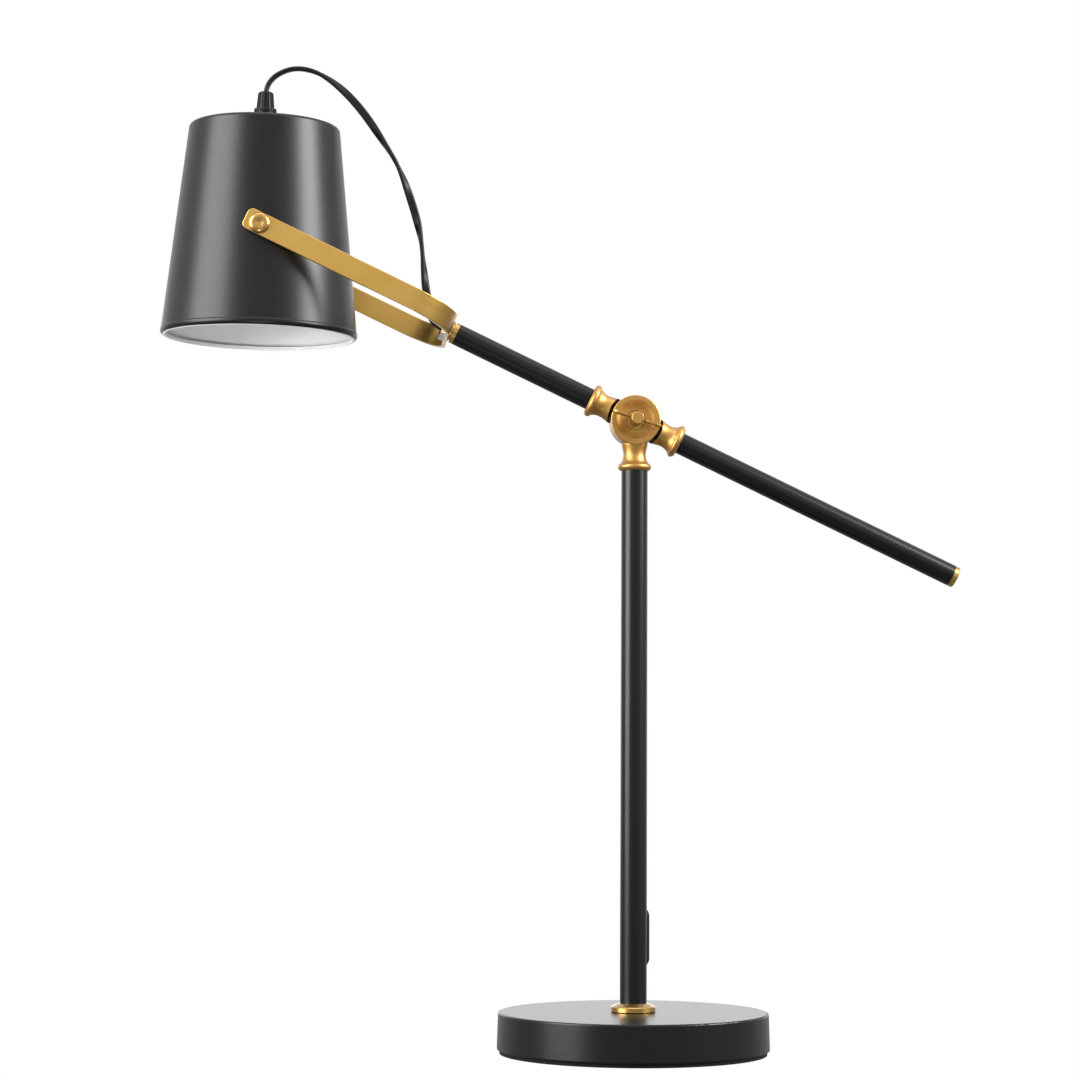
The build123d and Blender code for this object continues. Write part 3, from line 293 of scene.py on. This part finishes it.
def scratches(tree, place):
    """Noise in long lines along the strap."""
    across = add_node(tree, "VectorMath", {0: place, 1: tuple(STRAP_ACROSS)}, operation="DOT_PRODUCT")
    leg = add_node(tree, "VectorMath", {0: place, 1: tuple(TO_HEAD)}, operation="DOT_PRODUCT")
    bridge = add_node(tree, "VectorMath", {0: place, 1: (0, 1, 0)}, operation="DOT_PRODUCT")
    along = add_node(
        tree, "Math", {0: leg.outputs["Value"], 1: bridge.outputs["Value"]}, operation="ADD"
    )
    narrow = add_node(
        tree,
        "Math",
        {0: across.outputs["Value"], 1: blots_per_metre(SCRATCH_APART_MM)},
        operation="MULTIPLY",
    )
    long = add_node(
        tree, "Math", {0: along.outputs[0], 1: blots_per_metre(SCRATCH_LONG_MM)}, operation="MULTIPLY"
    )
    lines = add_node(tree, "CombineXYZ", {0: narrow.outputs[0], 1: long.outputs[0]})
    return add_node(
        tree, "TexNoise", {"Vector": lines.outputs[0], "Scale": 1.0, "Detail": 3, "Roughness": 0.6}
    ).outputs["Fac"]


def brushed_brass():
    material, tree, coordinates = start_finish("brushed_lacquered_brass")
    place = coordinates.outputs["Object"]
    brushing = scratches(tree, place)
    cloud = add_node(
        tree, "TexNoise", {"Vector": place, "Scale": blots_per_metre(STRAP_CLOUD_MM), "Detail": 2}
    )
    tint = add_node(tree, "MapRange", {"Value": cloud.outputs["Fac"], **NOISE_RANGE})
    colour = add_node(
        tree,
        "Mix",
        {0: tint.outputs["Result"], 6: linear("B89247"), 7: linear("C09A51")},
        data_type="RGBA",
    )
    roughness = add_node(
        tree, "MapRange", {"Value": brushing, **NOISE_RANGE, "To Min": 0.28, "To Max": 0.38}
    )
    normal = add_node(
        tree, "Bump", {"Height": brushing, "Distance": SCRATCH_DEPTH, "Strength": 0.4}
    )
    shader = add_node(
        tree,
        "BsdfPrincipled",
        {
            "Base Color": colour.outputs[2],
            "Metallic": 1.0,
            "Roughness": roughness.outputs["Result"],
            "Coat Weight": 0.3,
            "Coat Roughness": 0.22,
            "Normal": normal.outputs["Normal"],
        },
    )
    add_node(tree, "OutputMaterial", {"Surface": shader.outputs["BSDF"]})
    return material


FINISHES["satin_brass"] = brushed_brass()
print("finish made:", FINISHES["satin_brass"].name)

# %% [markdown]
# ## Cast brass
# The knuckle is cast, tumbled smooth and lacquered in an old gold. Its skin is a little uneven, so its
# highlights are broad and soft. Narrow slits part its round disc from the necks, and they look almost
# black, since hardly any light gets in. The gaps are real in the solids, but a bright metal still lights
# them up, so the shade in them is painted: a ring just outside the disc is coloured a deep brown. The
# painted shade stops above the post's neck, where there is no slit.

# %% Painted shade in the slits round the disc
DISC_RADIUS = 0.01505
SLIT_START = (DISC_RADIUS + 0.0001, DISC_RADIUS + 0.0002)
SLIT_END = (DISC_RADIUS + 0.0018, DISC_RADIUS + 0.0021)
SLIT_BOTTOM = (-0.0140, -0.0132)


def painted_slit_shade(tree, place):
    """Painted shade: a socket that is 1 in the slits beside the knuckle's disc and 0 elsewhere."""
    offset = add_node(tree, "VectorMath", {0: place, 1: tuple(KNUCKLE)}, operation="SUBTRACT")
    flat = add_node(tree, "VectorMath", {0: offset.outputs[0], 1: (1, 0, 1)}, operation="MULTIPLY")
    radius = add_node(tree, "VectorMath", {0: flat.outputs[0]}, operation="LENGTH").outputs["Value"]
    above = add_node(tree, "VectorMath", {0: offset.outputs[0], 1: (0, 0, 1)}, operation="DOT_PRODUCT")
    past_disc = add_node(
        tree, "MapRange", {"Value": radius, "From Min": SLIT_START[0], "From Max": SLIT_START[1]}
    )
    before_neck = add_node(
        tree,
        "MapRange",
        {"Value": radius, "From Min": SLIT_END[0], "From Max": SLIT_END[1], "To Min": 1, "To Max": 0},
    )
    above_post = add_node(
        tree,
        "MapRange",
        {"Value": above.outputs["Value"], "From Min": SLIT_BOTTOM[0], "From Max": SLIT_BOTTOM[1]},
    )
    ring = add_node(
        tree, "Math", {0: past_disc.outputs[0], 1: before_neck.outputs[0]}, operation="MULTIPLY"
    )
    return add_node(
        tree, "Math", {0: ring.outputs[0], 1: above_post.outputs[0]}, operation="MULTIPLY"
    ).outputs[0]


# %% Cast and lacquered brass
CAST_CLOUD_MM = 11.1
CAST_SKIN_MM = 1.111
CAST_SKIN_HEIGHT = 0.00001


def cast_brass():
    material, tree, coordinates = start_finish("cast_lacquered_brass")
    place = coordinates.outputs["Object"]
    cloud = add_node(
        tree, "TexNoise", {"Vector": place, "Scale": blots_per_metre(CAST_CLOUD_MM), "Detail": 2}
    )
    skin = add_node(
        tree, "TexNoise", {"Vector": place, "Scale": blots_per_metre(CAST_SKIN_MM), "Detail": 3}
    )
    tint = add_node(tree, "MapRange", {"Value": cloud.outputs["Fac"], **NOISE_RANGE})
    brass = add_node(
        tree,
        "Mix",
        {0: tint.outputs["Result"], 6: linear("9E7638"), 7: linear("A87F43")},
        data_type="RGBA",
    )
    # Painted shade: deep brown is mixed into the brass where the slits are, for the shade inside them.
    colour = add_node(
        tree, "Mix", {0: painted_slit_shade(tree, place), 6: brass.outputs[2], 7: linear("2A140C")}, data_type="RGBA"
    )
    roughness = add_node(
        tree,
        "MapRange",
        {"Value": skin.outputs["Fac"], **NOISE_RANGE, "To Min": 0.42, "To Max": 0.48},
    )
    normal = add_node(
        tree,
        "Bump",
        {"Height": skin.outputs["Fac"], "Distance": CAST_SKIN_HEIGHT, "Strength": 0.2},
    )
    shader = add_node(
        tree,
        "BsdfPrincipled",
        {
            "Base Color": colour.outputs[2],
            "Metallic": 1.0,
            "Roughness": roughness.outputs["Result"],
            "Coat Weight": 0.4,
            "Coat Roughness": 0.25,
            "Normal": normal.outputs["Normal"],
        },
    )
    add_node(tree, "OutputMaterial", {"Surface": shader.outputs["BSDF"]})
    return material


FINISHES["antique_brass"] = cast_brass()
print("finish made:", FINISHES["antique_brass"].name)

# %% [markdown]
# ## Turned, plated and cast metals
# The collars, caps and screws are turned brass, polished and lacquered, which gives them small, sharp
# highlights. The yoke's nut is nickel plated, which is paler and whiter, and the hidden fastenings are
# zinc-plated steel. The weight in the base is rough grey cast iron. These finishes differ only in colour, in
# how rough they are and in how wide their faint ripples are, so one function makes them all. On the iron the
# ripples stand for the grain of its sand mould.

# %% Plain metals
TURNED_RIPPLE_MM = 1.429
SAND_GRAIN_MM = 2.0
RIPPLE_HEIGHT = 0.00001


def plain_metal(name, dark, light, smooth, rough, ripple=TURNED_RIPPLE_MM, lacquer=0.0):
    material, tree, coordinates = start_finish(name)
    skin = add_node(
        tree,
        "TexNoise",
        {"Vector": coordinates.outputs["Object"], "Scale": blots_per_metre(ripple), "Detail": 3},
    ).outputs["Fac"]
    tint = add_node(tree, "MapRange", {"Value": skin, **NOISE_RANGE})
    colour = add_node(
        tree,
        "Mix",
        {0: tint.outputs["Result"], 6: linear(dark), 7: linear(light)},
        data_type="RGBA",
    )
    roughness = add_node(
        tree, "MapRange", {"Value": skin, **NOISE_RANGE, "To Min": smooth, "To Max": rough}
    )
    normal = add_node(tree, "Bump", {"Height": skin, "Distance": RIPPLE_HEIGHT, "Strength": 0.3})
    shader = add_node(
        tree,
        "BsdfPrincipled",
        {
            "Base Color": colour.outputs[2],
            "Metallic": 1.0,
            "Roughness": roughness.outputs["Result"],
            "Normal": normal.outputs["Normal"],
            "Coat Weight": lacquer,
            "Coat Roughness": 0.20,
        },
    )
    add_node(tree, "OutputMaterial", {"Surface": shader.outputs["BSDF"]})
    return material


FINISHES["bright_brass"] = plain_metal(
    "polished_brass", "A4803D", "AD8948", smooth=0.28, rough=0.34, lacquer=0.6
)
FINISHES["nickel"] = plain_metal("nickel_plate", "DADBDC", "E8E9EA", smooth=0.24, rough=0.32)
FINISHES["steel"] = plain_metal("zinc_plated_steel", "8C8C8C", "A5A5A5", smooth=0.28, rough=0.40)
FINISHES["cast_iron"] = plain_metal(
    "sand_cast_iron", "303032", "434346", smooth=0.60, rough=0.75, ripple=SAND_GRAIN_MM
)
print("plain metals made: 4")

# %% [markdown]
# ## Plastics, porcelain, sheath and foam
# The cord's grip and the switch are moulded black plastic with a faint spark texture from the mould. The
# spacers at the pivots are natural nylon, milky and a little waxy, and the lampholder's core is glazed
# porcelain, the smoothest of them. The cord's sheath is soft vinyl, and the pad under the base is a dull
# black foam. None is a metal, and all have an IOR near 1.5, so again one function makes them. Mould
# textures of a tenth of a millimetre are too fine to show and are drawn at about half a millimetre or more.

# %% Plastics and the like
MOULD_TEXTURE_MM = 0.7143
SHEATH_TEXTURE_MM = 1.111
FOAM_CELL_MM = 0.5556
POLYMER_REFLECTION = 0.18


def moulded(name, dark, light, smooth, rough, texture=MOULD_TEXTURE_MM, height=0.00002):
    material, tree, coordinates = start_finish(name)
    skin = add_node(
        tree,
        "TexNoise",
        {"Vector": coordinates.outputs["Object"], "Scale": blots_per_metre(texture), "Detail": 2},
    ).outputs["Fac"]
    tint = add_node(tree, "MapRange", {"Value": skin, **NOISE_RANGE})
    colour = add_node(
        tree,
        "Mix",
        {0: tint.outputs["Result"], 6: linear(dark), 7: linear(light)},
        data_type="RGBA",
    )
    roughness = add_node(
        tree, "MapRange", {"Value": skin, **NOISE_RANGE, "To Min": smooth, "To Max": rough}
    )
    normal = add_node(tree, "Bump", {"Height": skin, "Distance": height, "Strength": 0.4})
    shader = add_node(
        tree,
        "BsdfPrincipled",
        {
            "Base Color": colour.outputs[2],
            "Roughness": roughness.outputs["Result"],
            "Normal": normal.outputs["Normal"],
            "Specular IOR Level": POLYMER_REFLECTION,
        },
    )
    add_node(tree, "OutputMaterial", {"Surface": shader.outputs["BSDF"]})
    return material


FINISHES["black_plastic"] = moulded(
    "moulded_black_plastic", "060606", "090909", smooth=0.42, rough=0.50, height=0.000005
)
FINISHES["nylon"] = moulded("natural_nylon", "E4E1DA", "EFECE6", smooth=0.35, rough=0.45)
FINISHES["porcelain"] = moulded("glazed_porcelain", "E6E4DE", "EFEDE8", smooth=0.12, rough=0.20)
FINISHES["cord"] = moulded(
    "vinyl_sheath",
    "060606",
    "0A0A0A",
    smooth=0.40,
    rough=0.46,
    texture=SHEATH_TEXTURE_MM,
    height=0.000004,
)
FINISHES["pad"] = moulded(
    "black_foam", "030303", "060606", smooth=0.75, rough=0.85, texture=FOAM_CELL_MM
)
print("plastics and the like made: 5")

# %% [markdown]
# ## Dress the pieces
# The record says which finish each piece has. Every mesh from the frame therefore gets one material, and
# its shape and place are left alone.

# %% Give each piece its finish
for entry in frame["record"]["subparts"]:
    piece = frame["nodes"][entry["node"]]
    piece.data.materials.clear()
    piece.data.materials.append(FINISHES[entry["material_slot"]])

# %% [markdown]
# ## The cord's route
# The cord comes straight up out of the grip on the shade, bows over to the right and drops behind the strap
# into the swivel at the arm's end. A physics simulation could let it fall, but such a cord holds a set of
# its own, and the curve is known. So its route is a list of given points: the first ones are measured from
# the grip's mouth, and the last ones from the swivel's, so that both ends sit right in their holes.

# %% Points of the route
GRIP_ABOVE_PIVOT = 0.08935
SWIVEL_ALONG_ARM = 0.1294
GRIP_MOUTH = PIVOT + GRIP_ABOVE_PIVOT * SHADE_AXIS
SWIVEL_MOUTH = KNUCKLE + SWIVEL_ALONG_ARM * TO_HEAD


def past_grip(aside, above):
    """A point of the cord in millimetres, aside from the grip's axis and above its mouth."""
    return GRIP_MOUTH + (SHADE_ACROSS * aside + SHADE_AXIS * above) / 1000


def past_mouth(ahead, above):
    """A point of the cord in millimetres, ahead of the swivel's mouth and above the arm's axis."""
    return SWIVEL_MOUTH + (TO_HEAD * ahead + STRAP_ACROSS * above) / 1000


CORD_ROUTE = (
    past_grip(0, -3.0),
    past_grip(0, 2.0),
    past_grip(2.7, 7.6),
    past_grip(7.8, 12.1),
    past_grip(16.1, 15.4),
    past_grip(25.2, 15.0),
    past_grip(34.9, 11.5),
    past_grip(46.6, 3.2),
    past_grip(58.4, -9.1),
    past_grip(69.9, -25.2),
    past_mouth(65.7, 76.7),
    past_mouth(50.0, 61.4),
    past_mouth(35.9, 45.3),
    past_mouth(25.2, 27.5),
    past_mouth(17.3, 14.5),
    past_mouth(10.8, 7.0),
    past_mouth(6.4, 0),
    past_mouth(-3.5, 0),
)
print("points on the cord's route:", len(CORD_ROUTE))

# %% [markdown]
# ## One smooth line
# A cord has no corners. A NURBS spline with the route's points as its control points passes near each of
# them in one smooth curve, which is why it is chosen over straight runs with rounded corners. The flat
# section below has to know many places along the line, so the spline is turned into a mesh for a moment and
# its points are read from that.

# %% Read points along the spline
STEPS_PER_POINT = 12


def spline_points(route):
    """Points along the smooth curve that has the route as its control points."""
    data = bpy.data.curves.new("cord_route", "CURVE")
    data.dimensions = "3D"
    data.resolution_u = STEPS_PER_POINT
    spline = data.splines.new("NURBS")
    spline.points.add(len(route) - 1)
    for point, place in zip(spline.points, route):
        point.co = (*place, 1)
    spline.order_u = 3
    spline.use_endpoint_u = True
    curve = bpy.data.objects.new("cord_route", data)
    bpy.context.scene.collection.objects.link(curve)
    bpy.context.view_layer.update()
    mesh = bpy.data.meshes.new_from_object(curve)
    points = [vertex.co.copy() for vertex in mesh.vertices]
    bpy.data.objects.remove(curve)
    bpy.data.curves.remove(data)
    bpy.data.meshes.remove(mesh)
    return points


cord_line = spline_points(CORD_ROUTE)
run_so_far = [0.0]
for before, here in zip(cord_line, cord_line[1:]):
    run_so_far.append(run_so_far[-1] + (here - before).length)
cord_length = run_so_far[-1]
print(f"cord: {len(cord_line)} places on its line, {cord_length * 1000:.1f} mm long")

# %% [markdown]
# ## The flat twin section
# The cord is a flat twin: two round cores side by side in one sheath, with a shallow waist between them. A
# round bevel on the curve would miss this, and a flat cord shows it well, because it looks wide and then
# narrow as it turns over. The outline is a circle that is pulled apart into two halves, a little pinched in
# the middle.

# %% Outline of the sheath
CORD_WIDTH = 0.0049
CORD_THICKNESS = 0.0030
OUTLINE_POINTS = 28
WAIST = 0.86


def twin_section():
    """Points round the cord's section, as (across its width, across its thickness)."""
    outline = []
    radius = CORD_THICKNESS / 2
    half_apart = (CORD_WIDTH - CORD_THICKNESS) / 2
    for index in range(OUTLINE_POINTS):
        angle = 2 * math.pi * index / OUTLINE_POINTS
        side = half_apart if math.cos(angle) >= 0 else -half_apart
        pinch = WAIST + (1 - WAIST) * abs(math.cos(angle))
        outline.append((side + radius * math.cos(angle), radius * pinch * math.sin(angle)))
    return outline


print(f"section: {OUTLINE_POINTS} points, {CORD_WIDTH * 1000:.1f} by {CORD_THICKNESS * 1000:.1f} mm")

# %% [markdown]
# ## How it turns over
# Loose, the cord keeps some twist. From the grip over the top of the bow it stands on edge to the camera and
# looks thin. Then it turns over steadily, and shows its flat side three times on the way down. A twist could
# be given to a curve point by point as its tilt. Here it is a few stations along the length instead: they say
# how far the cord has turned by then, and it eases from each to the next.

# %% Twist along the cord
TWIST_STATIONS = (
    (0.0, 100),
    (0.15, 90),
    (0.34, 0),
    (0.50, -90),
    (0.645, -180),
    (0.755, -270),
    (0.90, -360),
    (1.0, -390),
)


def cord_twist(share):
    """How far the flat cord is turned about itself, by share of its length from the grip."""
    for (start, first), (end, second) in zip(TWIST_STATIONS, TWIST_STATIONS[1:]):
        if share <= end:
            ease = (share - start) / (end - start)
            ease = ease * ease * (3 - 2 * ease)
            return math.radians(first + (second - first) * ease)
    return math.radians(TWIST_STATIONS[-1][1])


def section_place(index):
    """The matrix that stands the section on the cord's line: width, thickness, direction, place."""
    before = cord_line[max(index - 1, 0)]
    after = cord_line[min(index + 1, len(cord_line) - 1)]
    direction = (after - before).normalized()
    across_lamp = Vector((0, 1, 0))
    in_bow = direction.cross(across_lamp).normalized()
    turned = cord_twist(run_so_far[index] / cord_length)
    wide = math.cos(turned) * in_bow + math.sin(turned) * across_lamp
    thin = direction.cross(wide)
    place = cord_line[index]
    return Matrix((*zip(wide, thin, direction, place), (0, 0, 0, 1)))


# %% [markdown]
# ## Sweep the cord
# A cord factory pushes its sheath out along the line, and extruding a face in bmesh would do much the same.
# Here the section also turns from place to place, so its points are laid out ring by ring instead: one ring
# at each place on the line, side faces between each ring and the next, and one face to close each end.

# %% Flat twin cord
def swept_cord(name):
    section = twin_section()
    count = len(section)
    points = []
    for index in range(len(cord_line)):
        stand = section_place(index)
        points += [stand @ Vector((x, y, 0)) for x, y in section]
    faces = []
    for start in range(0, len(points) - count, count):
        for index in range(count):
            after = (index + 1) % count
            faces.append((start + index, start + after, start + count + after, start + count + index))
    faces.append(tuple(reversed(range(count))))
    faces.append(tuple(range(len(points) - count, len(points))))
    mesh = bpy.data.meshes.new(name)
    mesh.from_pydata(points, [], faces)
    mesh.shade_smooth()
    mesh.materials.append(FINISHES["cord"])
    cord = bpy.data.objects.new(name, mesh)
    bpy.context.scene.collection.objects.link(cord)
    return cord


head_cord = swept_cord("head_cord_flat")
print(f"cord's mesh: {len(head_cord.data.vertices)} points, {len(head_cord.data.polygons)} faces")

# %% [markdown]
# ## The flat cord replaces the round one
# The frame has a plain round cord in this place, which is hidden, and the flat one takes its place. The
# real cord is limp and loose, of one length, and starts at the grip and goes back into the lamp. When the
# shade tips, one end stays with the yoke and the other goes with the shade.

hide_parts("head_cord")
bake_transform(head_cord)

# %% [markdown]
# ## Camera
# The picture is taken from the front with a long lens, as product pictures are, because a lens close by
# would swell the shade. The camera stands 1.75 m away and low, at about a third of the lamp's height, and
# looks a little up and to the right. Its pan, pitch and roll are written apart, since that is how one would
# set a tripod, and the matrix is put together from them.

# %% Aim the camera
CAMERA_PLACE = Vector((-0.18104, -1.75124, 0.18659))
CAMERA_PAN = math.radians(4.054)
CAMERA_PITCH = math.radians(3.875)
CAMERA_ROLL = math.radians(0.262)

forward = Vector(
    (
        math.sin(CAMERA_PAN) * math.cos(CAMERA_PITCH),
        math.cos(CAMERA_PAN) * math.cos(CAMERA_PITCH),
        math.sin(CAMERA_PITCH),
    )
)
level_right = Vector((math.cos(CAMERA_PAN), -math.sin(CAMERA_PAN), 0))
level_up = level_right.cross(forward)
right = level_right * math.cos(CAMERA_ROLL) + level_up * math.sin(CAMERA_ROLL)
up = level_up * math.cos(CAMERA_ROLL) - level_right * math.sin(CAMERA_ROLL)

# %% Make the camera
SENSOR_WIDTH_MM = 36
FOCAL_LENGTH_PIXELS = 2930.85
PICTURE_WIDTH_PIXELS = 1080

camera_data = bpy.data.cameras.new("camera")
camera_data.sensor_width = SENSOR_WIDTH_MM
camera_data.lens = SENSOR_WIDTH_MM * (FOCAL_LENGTH_PIXELS / PICTURE_WIDTH_PIXELS)
camera_data.clip_start = 0.05
camera = bpy.data.objects.new("camera", camera_data)
turn = Matrix((*zip(right, up, -forward, (0, 0, 0)), (0, 0, 0, 1)))
camera.matrix_world = Matrix.Translation(CAMERA_PLACE) @ turn
bpy.context.scene.collection.objects.link(camera)
bpy.context.scene.camera = camera
print(f"lens: {camera_data.lens:.1f} mm")

# %% [markdown]
# ## Softboxes
# Black and brass are shown by what they reflect, so the lights are large soft panels. The left and right
# boxes draw the two long highlights down the post and the shade. The top box is for the base's upper face,
# and the wide box behind brightens the far edges. The small low box, narrowed like a torch, looks up into
# the shade and lights its white inside.

# %% Place the softboxes
def softbox(name, azimuth, height, distance, width, tall, power, aim, spread=180):
    """A rectangular light around the lamp: azimuth 0 is in front, positive to the right."""
    turned = math.radians(azimuth)
    data = bpy.data.lights.new(name, "AREA")
    data.shape = "RECTANGLE"
    data.size = width
    data.size_y = tall
    data.energy = power
    data.spread = math.radians(spread)
    light = bpy.data.objects.new(name, data)
    place = Vector((distance * math.sin(turned), -distance * math.cos(turned), height))
    light.location = place
    light.rotation_euler = (Vector(aim) - place).to_track_quat("-Z", "Y").to_euler()
    bpy.context.scene.collection.objects.link(light)
    print(f"{name}: {power} W")


LAMP_MIDDLE = (-0.05, 0, 0.3)
LAMP_FOOT = (0, 0, 0.2)
SHADE_INSIDE = (-0.22, 0.03, 0.44)

softbox(
    "left_box", azimuth=-66, height=0.85, distance=1.7, width=1.2, tall=1.7, power=82, aim=LAMP_MIDDLE
)
softbox(
    "right_box", azimuth=67, height=1.25, distance=1.8, width=0.95, tall=1.2, power=96, aim=LAMP_MIDDLE
)
softbox(
    "top_box", azimuth=0, height=2.2, distance=0.3, width=1.6, tall=1.2, power=14, aim=LAMP_MIDDLE
)
softbox("back_box", azimuth=180, height=0.45, distance=2.2, width=4.0, tall=0.9, power=9, aim=LAMP_FOOT)
softbox(
    "low_box",
    azimuth=-14,
    height=-0.30,
    distance=0.9,
    width=0.24,
    tall=0.24,
    power=0.06,
    aim=SHADE_INSIDE,
    spread=20,
)

# %% [markdown]
# ## The room
# The camera sees pure white all round. The lamp has to reflect something else, or its lower sides would be
# as bright as its upper ones: a bright room over a darker floor. So the world asks what kind of ray has
# reached it. A camera ray finds white, and every other ray finds the room, which fades from floor to wall
# across the height of the horizon.

# %% White for the camera, a room for the lamp
WHITE = (1, 1, 1, 1)
FLOOR_EDGE = -0.14
ROOM_EDGE = 0.10
FLOOR_LIGHT = 0.38
ROOM_LIGHT = 1.05

world = bpy.data.worlds.new("studio")
world.use_nodes = True
bpy.context.scene.world = world
sky = world.node_tree
sky.nodes.clear()
direction = add_node(sky, "TexCoord")
height = add_node(sky, "SeparateXYZ", {0: direction.outputs["Generated"]})
room = add_node(
    sky,
    "MapRange",
    {
        "Value": height.outputs[2],
        "From Min": FLOOR_EDGE,
        "From Max": ROOM_EDGE,
        "To Min": FLOOR_LIGHT,
        "To Max": ROOM_LIGHT,
    },
    interpolation_type="SMOOTHSTEP",
)
ray = add_node(sky, "LightPath")
around = add_node(sky, "Background", {"Color": WHITE, "Strength": room.outputs["Result"]})
seen = add_node(sky, "Background", {"Color": WHITE})
chosen = add_node(
    sky, "MixShader", {0: ray.outputs["Is Camera Ray"], 1: around.outputs[0], 2: seen.outputs[0]}
)
add_node(sky, "OutputWorld", {"Surface": chosen.outputs[0]})
bpy.context.scene.view_settings.view_transform = "Standard"
print(f"floor light {FLOOR_LIGHT}, room light {ROOM_LIGHT}")

# %% [markdown]
# ## Sizes
# The dressed lamp should be as large as its solids, so both boxes are put side by side.

# %% Sizes
size = {"cad": cad_box, "visual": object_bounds()}
size = {key: [[round(x, 5) for x in corner] for corner in box] for key, box in size.items()}
